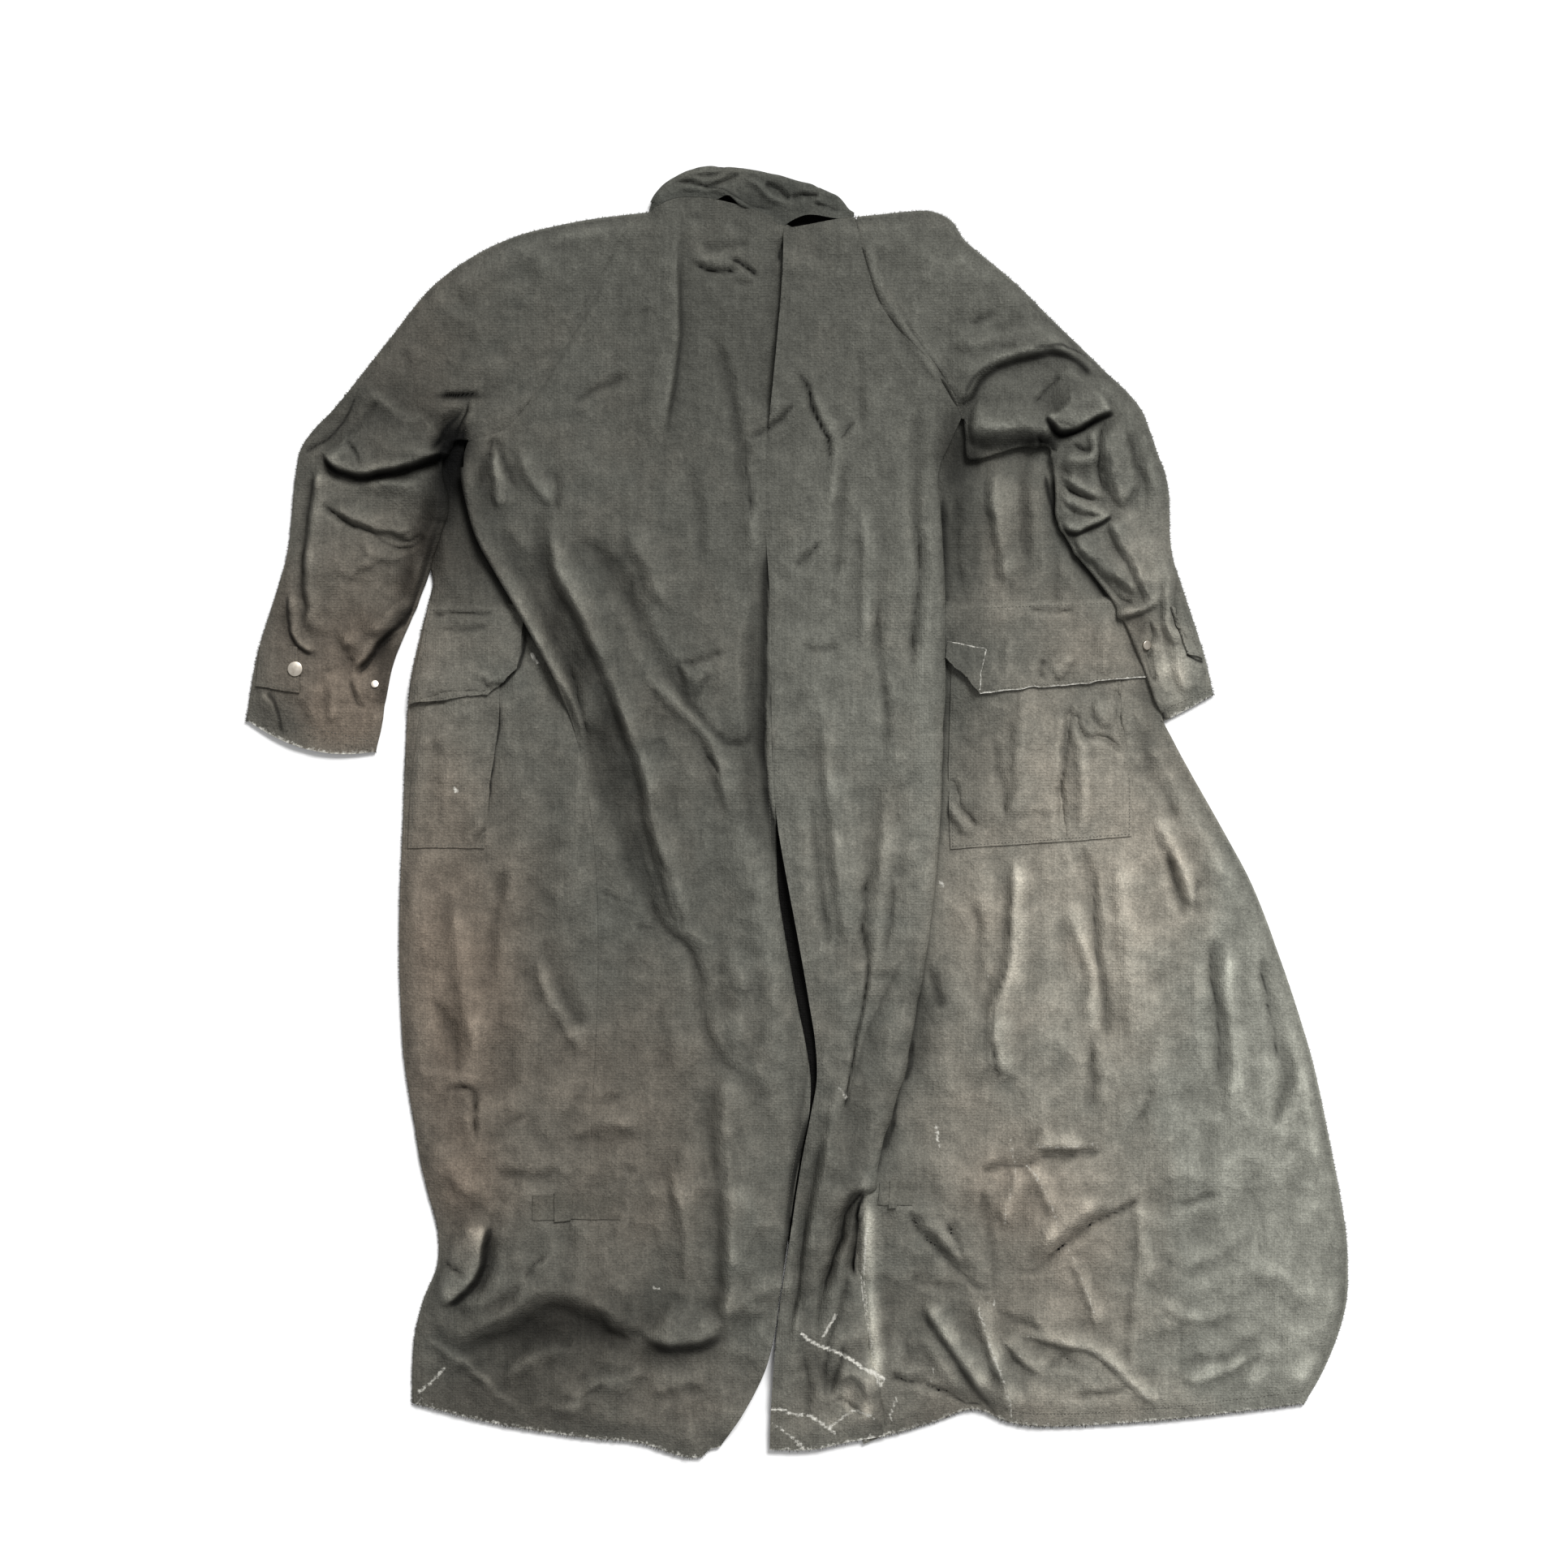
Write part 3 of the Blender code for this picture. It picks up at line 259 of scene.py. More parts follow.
# the layers of a fold, its width to the left and right, its height, its painted shade (darker in its hollow or
# beside a lip), the share of it that fades out at each end, and then x and y of each point of its line
FOLD_ROWS = (
    # upper back: the two pleats from the collar and the creases between them
    ("BL", 6, 60, 5, 0.5, 0.3, -124, 627, -126, 578, -126, 539, -126, 499, -132, 451, -137, 419, -144, 381,
     -156, 348),
    ("BL", 40, 3, -1.2, 0.3, 0.2, -122, 627, -124, 578, -124, 539, -124, 499, -130, 451, -135, 419),
    ("BL", 10, 30, -4, 0.35, 0.12, -14, 609, -16, 552, -21, 493, -25, 450, -27, 412),
    ("BR", 48, 6, 5, 0, 0.2, -14, 609, -16, 552, -21, 493, -25, 450, -32, 385),
    ("BL", 4, 6, -5, 0.9, 0.25, -111, 575, -99, 569, -87, 565, -72, 564, -58, 567),
    ("BL", 4, 6, -4.5, 0.9, 0.25, -74, 577, -65, 575, -57, 571, -48, 565, -37, 558),
    ("BL", 16, 6, 3, 0.2, 0.25, -114, 583, -95, 576, -78, 572, -63, 575),
    ("BL", 6, 6, -2, 0.2, 0.25, -118, 624, -107, 620, -97, 615),
    ("BL", 10, 10, -2.5, 0.1, 0.25, -105, 595, -78, 588, -44, 595),
    ("BL", 7, 9, -2.5, 0.2, 0.25, -70, 557, -57, 553, -44, 551),
    ("BL", 10, 12, -5, 0.3, 0.25, -94, 506, -82, 484, -73, 454, -65, 416, -60, 374, -56, 323),
    ("BL", 12, 9, 4, 0, 0.25, -65, 387, -52, 353, -46, 306, -49, 255),
    ("BR", 4.5, 7, -6, 0.95, 0.25, -2, 462, 5, 452, 12, 440, 18, 418, 26, 402, 33, 387, 35, 357),
    ("BR", 10, 7, 3.5, 0, 0.25, 8, 457, 20, 425, 34, 400, 40, 374, 37, 332, 24, 306),
    ("BR", 4.5, 5, -4, 0.7, 0.25, 61, 409, 53, 400, 46, 390, 41, 387),
    ("BR", 8, 8, -2.5, 0.15, 0.25, 68, 493, 65, 439, 68, 387),
    ("BR BL", 5, 6, -3.5, 0.5, 0.25, 2, 432, -12, 416, -22, 405, -47, 392, -57, 390),
    ("BR", 14, 12, -6, 0.25, 0.2, 129, 450, 125, 391, 123, 323, 127, 255, 121, 187, 117, 119),
    ("BR SR", 18, 7, 2.5, 0.2, 0.1, 72, 595, 81, 558, 95, 531, 127, 482, 151, 446),
    ("BL", 6, 6, -2, 0.2, 0.25, -165, 519, -155, 522, -143, 521),
    ("BL", 3, 34, -1.2, 0.5, 0.2, -27, 314, -30, 255, -32, 204, -28, 128, -22, 60),
    ("BL", 12, 8, -5, 0.55, 0.25, -57, 398, -54, 374, -51, 340, -46, 301),
    # left armpit: gathers, and the drapes that fall from it
    ("BL", 7, 7, -6, 0.5, 0.25, -314, 397, -321, 374, -328, 353, -333, 332),
    ("BL", 7, 7, -6, 0.45, 0.25, -314, 394, -306, 366, -299, 347, -292, 333),
    ("BL", 18, 7, 6, 0.2, 0.25, -315, 387, -314, 348, -309, 306),
    ("BL", 18, 8, 5, 0.2, 0.25, -291, 382, -278, 348, -261, 326, -252, 313),
    ("BL", 6, 6, -5, 0.45, 0.25, -255, 360, -251, 347, -250, 332, -252, 306),
    ("BL", 13, 14, -7, 0.3, 0.25, -263, 323, -269, 289, -264, 255, -253, 221, -243, 196),
    ("BL", 24, 8, 9, 0.1, 0.12, -347, 387, -348, 348, -340, 306, -320, 257, -294, 216, -271, 177, -248, 139,
     -228, 103, -219, 51),
    ("BL", 18, 16, -10, 0.35, 0.15, -312, 306, -291, 259, -272, 223, -241, 156, -226, 102, -207, 34, -182, -31,
     -155, -102),
    ("BL", 26, 12, 11, 0, 0.15, -261, 306, -248, 254, -221, 200, -197, 149, -171, 79, -157, 39, -151, -5, -133, -68,
     -112, -144),
    ("BL", 16, 20, -8, 0.3, 0.2, -236, 289, -204, 267, -175, 221, -152, 173, -123, 129, -97, 93, -68, 70),
    ("BL", 24, 11, 7, 0.2, 0.25, -163, 144, -123, 110, -94, 79, -80, 42, -67, -17),
    ("BL", 6, 6, -5, 0.4, 0.25, -128, 160, -121, 136, -113, 115, -102, 102),
    ("BL", 6, 7, -4, 0.3, 0.25, -128, 156, -112, 155, -94, 160, -71, 171),
    ("BL", 5, 6, -4, 0.3, 0.25, -88, 145, -99, 129, -111, 111),
    ("BL", 4, 36, -1.5, 0.9, 0.15, -27, 306, -30, 238, -32, 170, -33, 102, -31, 34, -20, -34, -10, -94),
    ("BL", 14, 14, -8, 0.35, 0.2, -41, 221, -47, 178, -49, 139, -42, 94, -32, 34),
    ("BL", 9, 7, -4, 0.25, 0.25, -95, 85, -70, 71, -32, 77),
    ("BL", 5, 5, -4, 0.35, 0.25, -97, 60, -88, 49, -80, 36),
    ("BL", 6, 6, -2.5, 0.2, 0.25, -155, 67, -144, 71, -134, 73),
    ("FL BL", 10, 26, -7, 0.45, 0.12, -37, 38, -23, -34, -8, -110, 7, -204, 12, -255, 3, -332, -6, -408),
    ("FL BL", 26, 30, 6, 0, 0.2, -65, 0, -48, -68, -31, -153, -23, -246, -27, -340),
    ("BL", 32, 14, 5, 0.2, 0.3, -182, 306, -155, 255, -129, 204),
    ("BL", 12, 12, -3, 0.1, 0.3, -112, 374, -102, 306, -97, 238),
    # right back: the pleat that lies over the right front
    ("BR", 7, 7, -4.5, 0.3, 0.25, 26, 284, 15, 272, 5, 262, -5, 252),
    ("BR", 20, 8, 4, 0.2, 0.25, 68, 323, 72, 241, 68, 162),
    ("BR", 12, 12, -4, 0.15, 0.25, 49, 374, 46, 306, 39, 230),
    ("BR", 7, 7, -3, 0.2, 0.25, 1, 178, 24, 169, 48, 175),
    ("BR", 9, 10, -4, 0.15, 0.25, 88, 264, 83, 187, 92, 110, 90, 34),
    ("BR", 28, 11, 5, 0.2, 0.2, 28, 119, 34, 34, 44, -68, 56, -153),
    ("BR", 6, 6, -5, 0.45, 0.25, 75, -58, 70, -94, 69, -128, 73, -163),
    ("BR", 9, 9, -4, 0.2, 0.2, 15, 17, 22, -68, 34, -153),
    ("BR", 20, 10, 4, 0.2, 0.25, 94, 34, 88, -51, 83, -136, 75, -204),
    ("BR", 6, 8, -3, 0.2, 0.25, 100, -68, 98, -110, 92, -153),
    ("BR", 7, 12, -9, 0.95, 0.15, 73, -387, 65, -416, 62, -450, 60, -489),
    ("BR", 8, 14, -6, 0.7, 0.15, 73, -384, 53, -421, 39, -463, 26, -510),
    ("BR FR", 12, 7, 4, 0, 0.1, 74, -408, 71, -450, 75, -493, 79, -544, 86, -586),
    ("BR", 5, 5, -4, 0.6, 0.15, 74, -140, 73, -170, 70, -196, 61, -242, 53, -289, 46, -323),
    ("BR", 4.5, 5, -3, 0.5, 0.25, 73, -173, 85, -173, 99, -168),
    ("BR", 10, 12, -6, 0.45, 0.15, 24, -348, 13, -400, 7, -442, 2, -493, -7, -544),
    ("BR", 8, 9, -5, 0.45, 0.25, 49, -552, 41, -586, 31, -612),
    ("BR", 12, 12, -6, 0.35, 0.2, 70, -374, 54, -408, 41, -450, 26, -502, 19, -552),
    ("BR", 24, 10, 5, 0.2, 0.2, 41, -280, 32, -357, 15, -434, 3, -510, -6, -595),
    ("BR", 10, 8, -5, 0.3, 0.2, 53, -476, 46, -518, 32, -561, 27, -620),
    ("BR", 7, 7, -3, 0.2, 0.25, 7, -561, 12, -604, 7, -646),
    ("BR", 12, 6, 3.5, 0.2, 0.25, 41, -595, 54, -586, 68, -595, 80, -612),
    ("BR", 6, 7, -3.5, 0.25, 0.25, 36, -614, 53, -617, 70, -631),
    ("FL", 10, 34, -1, 0.85, 0.1, -350, 361, -342, 308, -320, 257, -294, 216, -272, 170),
    # left skirt
    ("FL BL", 9, 9, -4, 0.25, 0.25, -284, -64, -270, -82, -252, -104),
    ("FL BL", 16, 10, -7, 0.35, 0.2, -267, -128, -253, -170, -236, -207, -218, -231),
    ("FL BL", 24, 8, 4, 0.2, 0.25, -274, -153, -260, -191, -240, -228, -221, -255),
    ("FL BL", 6, 6, -2.5, 0.2, 0.25, -206, -83, -194, -90, -182, -95),
    ("FL BL", 5, 6, -2.5, 0.25, 0.25, -171, -118, -159, -122, -147, -122),
    ("FL BL", 12, 12, -5, 0.25, 0.15, -175, -34, -157, -84, -140, -122, -116, -139, -105, -166, -99, -210,
     -84, -257, -48, -279),
    ("FL BL", 9, 9, -4, 0.2, 0.2, -148, -34, -131, -78, -114, -133),
    ("FL BL", 22, 22, 5, 0, 0.25, -65, -136, -57, -196, -60, -255),
    ("FL BL", 12, 14, -6, 0.25, 0.25, -384, -187, -367, -218, -354, -251, -360, -286),
    ("FL BL", 32, 13, 5, 0.2, 0.25, -359, -68, -354, -136, -342, -212, -333, -272),
    ("FL BL", 7, 8, -6, 0.45, 0.25, -373, -292, -355, -288, -338, -292, -335, -326, -332, -350),
    ("FL BL", 6, 6, -3, 0.25, 0.25, -311, -332, -298, -325, -281, -316),
    ("FL BL", 12, 12, -4, 0.15, 0.25, -306, -51, -316, -119, -320, -187),
    ("FL BL", 24, 11, 4, 0.2, 0.25, -376, -340, -359, -374, -337, -408),
    ("FL BL", 42, 16, 7, 0.35, 0.1, -73, -272, -76, -330, -71, -371, -68, -444, -70, -502, -76, -544),
    ("FL BL", 36, 11, 2.4, 0.35, 0.15, -72, -416, -71, -459, -72, -502, -80, -536),
    ("FL BL", 4, 26, -2.5, 1, 0.2, 18, -298, 6, -351, -3, -388, -8, -445, -14, -502),
    ("FL BL", 6, 6, -2, 0.2, 0.25, -185, -372, -173, -375, -162, -375),
    ("FL BL", 10, 12, -3, 0.15, 0.25, -240, -293, -206, -306, -180, -293),
    ("FL BL", 24, 11, 3.5, 0.2, 0.25, -248, -340, -201, -323, -155, -336),
    ("FL BL", 12, 14, -3, 0.15, 0.25, -325, -374, -274, -382, -240, -374),
    ("FL BL", 28, 11, 4, 0.2, 0.25, -138, -357, -116, -425, -112, -493),
    ("BL", 9, 12, -3, 0.35, 0.3, -235, 423, -218, 437, -201, 445, -184, 454, -171, 461),
    ("SL BL", 7, 7, -1, 0.35, 0.2, -196, 563, -214, 531, -230, 503, -248, 472, -267, 440, -286, 418, -306, 401),
    ("BR", 30, 8, -1.5, 0.4, 0.2, 119, -134, 92, -189, 70, -240, 56, -291, 44, -340),
    ("FR", 12, 40, -0.4, 0.9, 0.12, 268, 357, 273, 316, 283, 289, 298, 264, 315, 241, 333, 218),
    # folds above the left hem
    ("FL BL", 8, 30, 12, 0.8, 0.15, -326, -425, -331, -450, -337, -475, -348, -496, -371, -514),
    ("FL BL", 16, 8, -5, 0.5, 0.25, -318, -435, -321, -463, -330, -493, -347, -512),
    ("FL BL", 5, 6, -5, 0.55, 0.25, -371, -468, -359, -476, -343, -486),
    ("FL BL", 5, 6, -4, 0.45, 0.25, -287, -490, -275, -476, -259, -463),
    ("FL BL", 50, 22, 8, 0.4, 0.12, -376, -554, -350, -545, -327, -533, -299, -524, -286, -510, -266, -500,
     -234, -502, -201, -517, -166, -534, -153, -546),
    ("FL BL", 22, 30, -6, 0.4, 0.25, -291, -564, -272, -544, -248, -534, -210, -542, -167, -558),
    ("FL BL", 40, 14, 9, 0.65, 0.3, -165, -542, -138, -549, -116, -550, -93, -544, -71, -530),
    ("FL BL", 10, 14, 5, 0, 0.25, -314, -595, -283, -573, -250, -562, -233, -568),
    ("FL BL", 10, 14, 5, 0, 0.25, -269, -638, -229, -613, -212, -597, -183, -594, -155, -576),
    ("FL BL", 8, 9, -4, 0.3, 0.25, -253, -619, -221, -609, -199, -593),
    ("FL BL", 6, 10, 5, 0.25, 0.25, -394, -547, -366, -562, -337, -583, -302, -615, -278, -638),
    ("FL BL", 10, 12, -4, 0.2, 0.25, -376, -595, -350, -605, -325, -629),
    ("FL BL", 24, 11, 4, 0.2, 0.25, -155, -612, -121, -595, -87, -599),
    ("FL BL", 24, 10, 4, 0.2, 0.25, -359, -518, -325, -510, -291, -489),
    # right front: hanging folds, and the shade beside the pleat
    ("FR", 36, 20, -1, 0.85, 0.08, 153, 360, 150, 255, 150, 130, 144, -10, 134, -102, 120, -210, 106, -275,
     83, -357, 71, -425),
    ("FR", 18, 22, -1, 0.8, 0.12, 131, -128, 127, -170, 122, -208, 121, -228),
    ("FR", 16, 20, -1, 0.8, 0.15, 121, -236, 118, -262, 112, -287),
    ("FR", 14, 18, -1, 0.85, 0.15, 105, -293, 99, -327, 90, -361),
    ("FR", 10, 9, -3, 0.15, 0.25, 168, 340, 167, 272, 173, 221),
    ("FR", 24, 10, 7, 0.2, 0.2, 209, 374, 207, 323, 216, 264, 219, 230),
    ("FR", 10, 8, -6, 0.35, 0.2, 240, 377, 235, 340, 238, 298, 243, 255),
    ("FR", 14, 14, -2, 1, 0.1, 258, 361, 263, 332, 275, 298, 292, 269, 313, 239, 332, 212, 352, 180),
    ("FR", 14, 14, -4, 0.15, 0.25, 262, 306, 270, 255, 267, 204),
    ("FR", 30, 8, 9, 0.3, 0.12, 228, -42, 226, -87, 224, -128, 219, -170, 206, -204, 206, -251, 212, -289),
    ("FR", 10, 10, -4, 0.25, 0.25, 185, -85, 190, -153, 185, -204),
    ("FR", 12, 14, -7, 0.35, 0.15, 298, -31, 304, -76, 312, -128, 320, -178, 325, -242),
    ("FR", 28, 11, 6, 0.2, 0.25, 280, -76, 292, -123, 309, -170, 304, -246),
    ("FR", 30, 16, 6, 0, 0.2, 332, -34, 343, -102, 348, -178, 355, -255),
    ("FR", 10, 10, -6, 0.35, 0.25, 384, -34, 393, -71, 405, -116),
    ("FR", 12, 12, -6, 0.3, 0.25, 360, 68, 382, 20, 403, -19),
    ("FR", 16, 12, 6, 0, 0.2, 372, 0, 398, -51, 423, -110),
    ("FR", 7, 7, -4, 0.3, 0.25, 420, -68, 418, -90, 417, -112),
    ("FR", 6, 6, -4, 0.7, 0.15, 484, -153, 491, -196, 500, -238, 505, -264),
    ("FR", 12, 12, -4, 0.5, 0.2, 517, -264, 512, -285, 502, -314, 495, -332),
    ("FR", 6, 6, -3, 0.6, 0.15, 313, -51, 311, -102, 314, -153, 321, -204, 324, -246),
    ("FR", 6, 6, -3, 0.55, 0.12, 224, -51, 223, -110, 219, -162, 207, -200, 205, -246, 211, -285),
    ("FR", 20, 11, -4.5, 0.55, 0.15, 435, -128, 432, -168, 438, -204, 441, -246, 438, -289),
    ("FR", 16, 12, 7, 0, 0.2, 450, -128, 449, -187, 457, -255, 452, -323),
    ("FR", 14, 12, -6, 0.35, 0.15, 482, -136, 493, -201, 505, -248, 510, -280, 496, -333),
    ("FR", 28, 11, 4, 0.2, 0.25, 466, -51, 488, -119, 517, -196),
    ("FR", 9, 7, -6, 0.5, 0.25, 137, -162, 143, -183, 153, -212),
    ("FR", 8, 8, -5, 0.35, 0.25, 201, -234, 207, -262, 212, -286),
    ("FR", 10, 10, -6, 0.4, 0.25, 305, -234, 309, -285, 304, -319),
    ("FR", 7, 8, -4, 0.3, 0.25, 372, -284, 365, -308, 353, -330),
    # right front: creases that run together above the hem
    ("FR", 9, 6, -6, 0.55, 0.1, 190, -379, 202, -372, 220, -369, 241, -369, 257, -360, 287, -360, 318, -355),
    ("FR", 18, 7, 5, 0.2, 0.25, 249, -350, 270, -349, 304, -347),
    ("FR", 7, 6, -4, 0.35, 0.25, 238, -355, 248, -343, 258, -330),
    ("FR", 16, 6, 4.5, 0.2, 0.25, 224, -353, 228, -382, 220, -409, 215, -442),
    ("FR", 14, 6, 4, 0.2, 0.25, 238, -366, 257, -393, 270, -425),
    ("FR", 8, 8, -5, 0.3, 0.25, 190, -374, 199, -429, 203, -468, 207, -510),
    ("FR", 7, 8, -6, 0.55, 0.12, 226, -483, 248, -478, 270, -460, 293, -441, 318, -425, 348, -411, 360, -396),
    ("FR", 24, 11, 6, 0.2, 0.25, 253, -455, 287, -425, 321, -406),
    ("FR", 14, 6, 4.5, 0.2, 0.25, 284, -455, 298, -490, 309, -518, 314, -548),
    ("FR", 8, 7, -5, 0.5, 0.12, 116, -411, 124, -427, 134, -444, 160, -469, 185, -493, 202, -500),
    ("FR", 18, 7, 4, 0.2, 0.25, 134, -425, 160, -455, 190, -480),
    ("FR", 7, 7, -4, 0.35, 0.25, 150, -422, 167, -450, 185, -484),
    ("FR", 7, 7, -4, 0.35, 0.25, 133, -479, 119, -496, 100, -520),
    ("FR", 8, 7, -4, 0.3, 0.25, 117, -490, 143, -493, 173, -500),
    ("FR", 22, 8, 8, 0.5, 0.12, 133, -510, 144, -531, 159, -551, 184, -587, 204, -616, 222, -636),
    ("FR", 18, 8, 8, 0.2, 0.12, 185, -510, 194, -536, 201, -557, 216, -596, 225, -633),
    ("FR", 7, 8, -4, 0.35, 0.25, 202, -520, 224, -532, 264, -541),
    ("FR", 16, 6, 4, 0.2, 0.25, 209, -544, 233, -568, 260, -591),
    ("FR", 16, 6, 5, 0.2, 0.15, 238, -546, 281, -555, 314, -564, 346, -592, 364, -609, 385, -623),
    ("FR", 8, 10, -5, 0.4, 0.25, 277, -614, 304, -610, 330, -606, 357, -598),
    ("FR", 10, 9, -6, 0.6, 0.1, 97, -590, 114, -594, 133, -597),
    ("FR", 8, 7, -6, 0.6, 0.1, 129, -595, 148, -604, 167, -612, 185, -618, 204, -622),
    ("FR", 26, 8, 4, 0.2, 0.12, 354, -395, 360, -442, 359, -482, 351, -547, 355, -599),
    ("FR", 12, 14, -6, 0.35, 0.25, 392, -578, 419, -575, 445, -571, 472, -555, 491, -537),
    ("FR", 11, 12, -5, 0.3, 0.25, 432, -605, 464, -587, 491, -561),
    ("FR", 24, 10, 5, 0.2, 0.25, 398, -595, 440, -586, 474, -571),
    ("FR", 6, 6, -4, 0.35, 0.25, 470, -393, 483, -416, 486, -442, 479, -476),
    ("FR", 9, 9, -4, 0.3, 0.25, 393, -415, 416, -407, 442, -395),
    ("FR", 28, 11, 4, 0.2, 0.25, 389, -476, 440, -459, 474, -425),
    ("FR", 24, 11, 4, 0.2, 0.25, 372, -510, 415, -527, 466, -523),
    ("FR", 9, 9, -3.5, 0.2, 0.25, 262, -586, 279, -570, 296, -586),
    ("FR", 12, 10, -4, 0.25, 0.25, 105, -536, 116, -561, 110, -586),
    ("FR", 20, 8, 4, 0.2, 0.25, 126, -536, 151, -578, 177, -608),
    # left sleeve: the upper arm pushed down over the forearm, and the hollow at the armpit
    ("SL", 60, 6, 13, 0.95, 0.1, -496, 377, -490, 370, -479, 360, -456, 354, -431, 359, -399, 365, -371, 376,
     -354, 391),
    ("SL", 6, 12, -7, 1, 0.12, -495, 367, -484, 357, -461, 348, -435, 351, -401, 357, -369, 367),
    ("SL", 8, 14, 4, 0.3, 0.25, -483, 357, -461, 347, -436, 342, -399, 342, -384, 348),
    ("SL", 8, 9, -8, 0.7, 0.12, -518, 374, -502, 382, -485, 394, -469, 416, -459, 440),
    ("SL", 24, 8, 6, 0.2, 0.25, -515, 384, -499, 404, -484, 425, -473, 450),
    ("SL", 5, 6, -4, 0.35, 0.25, -470, 393, -462, 376, -455, 357),
    ("SL", 7, 7, -4, 0.3, 0.25, -456, 405, -445, 418, -434, 429),
    ("SL", 12, 16, 5, 0, 0.25, -452, 442, -418, 416, -384, 408),
    ("SL", 3.5, 4.5, -4.5, 1, 0.3, -376, 431, -366, 434, -352, 435, -340, 436, -330, 434),
    ("SL", 5, 6, -5, 0.95, 0.2, -344, 432, -348, 415, -353, 400, -358, 386),
    ("SL", 16, 14, -8, 0.8, 0.3, -348, 428, -357, 413, -367, 398, -377, 382, -386, 369),
    ("SL FL", 10, 10, -6, 0.9, 0.3, -347, 408, -348, 387, -352, 369, -357, 348),
    ("SL", 40, 8, 8, 0.45, 0.1, -496, 362, -500, 340, -504, 306, -508, 275, -509, 242, -507, 211, -517, 187),
    ("SL", 10, 12, -5, 0.35, 0.15, -505, 353, -512, 306, -517, 255, -518, 212),
    ("SL", 6, 6, -5, 0.5, 0.12, -498, 323, -484, 312, -469, 303, -442, 290, -415, 284, -400, 286, -386, 293),
    ("SL", 5, 6, -4, 0.45, 0.12, -445, 291, -434, 281, -420, 275, -404, 277, -386, 289),
    ("SL", 18, 6, 4, 0.2, 0.25, -486, 323, -452, 301, -418, 293, -391, 301),
    ("SL", 16, 7, 3.5, 0.2, 0.25, -461, 282, -427, 265, -400, 269),
    ("SL", 15, 34, 9, 0.5, 0.1, -366, 348, -366, 340, -371, 314, -382, 292, -391, 264, -399, 241, -411, 221,
     -426, 207, -445, 178, -461, 151),
    ("SL", 6, 16, 6, 0.8, 0.15, -396, 224, -411, 207, -427, 190, -442, 173, -454, 160, -466, 146),
    ("SL", 7, 8, -6, 0.9, 0.2, -415, 184, -427, 176, -440, 165, -452, 151, -462, 141),
    ("SL", 14, 5, 5, 0.6, 0.15, -527, 230, -527, 206, -524, 185, -515, 172, -500, 168),
    ("SL", 6, 6, -2.5, 0.35, 0.3, -507, 143, -493, 146, -478, 151, -459, 160),
    ("SL", 20, 10, 4, 0.2, 0.25, -478, 170, -452, 187, -427, 196),
    ("SL", 6, 6, -4.5, 0.6, 0.25, -469, 141, -466, 126, -461, 114, -450, 106),
    ("SL", 5, 12, 4, 0.6, 0.15, -559, 128, -551, 112, -545, 99, -541, 78),
    ("SL", 18, 8, 4, 0.2, 0.25, -495, 153, -484, 119, -491, 85),
    ("SL", 8, 8, -3, 0.25, 0.25, -524, 119, -512, 94, -513, 72),
    ("SL", 20, 8, 3.5, 0.2, 0.25, -474, 238, -461, 255, -435, 264),
    ("SR", 3.5, 3.5, -1.2, 0.4, 0.06, 82, 595, 90, 565, 100, 537, 128, 490, 160, 445),
    # right sleeve: the bundle above the elbow and the crumpled forearm
    ("SR", 28, 13, 4, 0.2, 0.3, 151, 493, 185, 489, 228, 500, 270, 506),
    ("SR", 5, 7, -4, 0.5, 0.3, 175, 507, 189, 513, 202, 518, 212, 520),
    ("SR", 34, 9, 9, 0.6, 0.1, 165, 423, 177, 439, 189, 457, 212, 473, 249, 483, 272, 486, 296, 476, 320, 454),
    ("SR", 18, 12, -2, 0.7, 0.3, 167, 425, 178, 444, 196, 462, 218, 473),
    ("SR", 5, 5, -2, 0.9, 0.2, 241, 482, 270, 487, 289, 482, 304, 474),
    ("SR", 30, 22, 11, 0, 0.12, 177, 403, 216, 399, 246, 400, 270, 397),
    ("SR", 24, 20, 5, 0, 0.12, 291, 460, 285, 434, 280, 402),
    ("SR", 5, 6, -3, 0.6, 0.25, 245, 423, 255, 435, 267, 447, 279, 456),
    ("SR", 34, 6, 12, 0.95, 0.12, 260, 416, 270, 405, 280, 400, 299, 406, 314, 415, 330, 425),
    ("SR", 7, 10, -6, 0.9, 0.2, 264, 400, 280, 393, 301, 401, 318, 413),
    ("SR", 8, 9, -5, 0.8, 0.25, 250, 391, 262, 384, 272, 374),
    ("SR", 20, 10, 6, 0.2, 0.2, 306, 400, 313, 384, 309, 372, 289, 366, 274, 364),
    ("SR", 6, 6, -4, 0.6, 0.3, 287, 384, 299, 377, 309, 379),
    ("SR", 7, 9, -6, 0.5, 0.2, 323, 406, 315, 377, 317, 348, 325, 325),
    ("SR", 24, 10, 6, 0.2, 0.2, 333, 411, 328, 377, 333, 340, 342, 314),
    ("SR", 14, 8, -5, 0.4, 0.2, 343, 408, 350, 374, 358, 342, 348, 323, 330, 316),
    ("SR", 28, 11, 4, 0.2, 0.25, 364, 408, 371, 366, 373, 323),
    ("SR", 10, 4, 5, 0.2, 0.25, 275, 348, 286, 343, 304, 335, 323, 326),
    ("SR", 4, 5, -4, 0.6, 0.3, 274, 342, 286, 335, 303, 328, 320, 321),
    ("SR", 12, 5, 4, 0.2, 0.25, 275, 330, 289, 321, 306, 314, 321, 314),
    ("SR", 4, 5, -3.5, 0.5, 0.3, 277, 321, 292, 311, 309, 308, 323, 311),
    ("SR", 22, 5, 8, 0.8, 0.15, 275, 301, 287, 294, 303, 298, 318, 306, 330, 316),
    ("SR", 30, 9, 7, 0.35, 0.12, 326, 306, 342, 279, 355, 253, 369, 223, 373, 211),
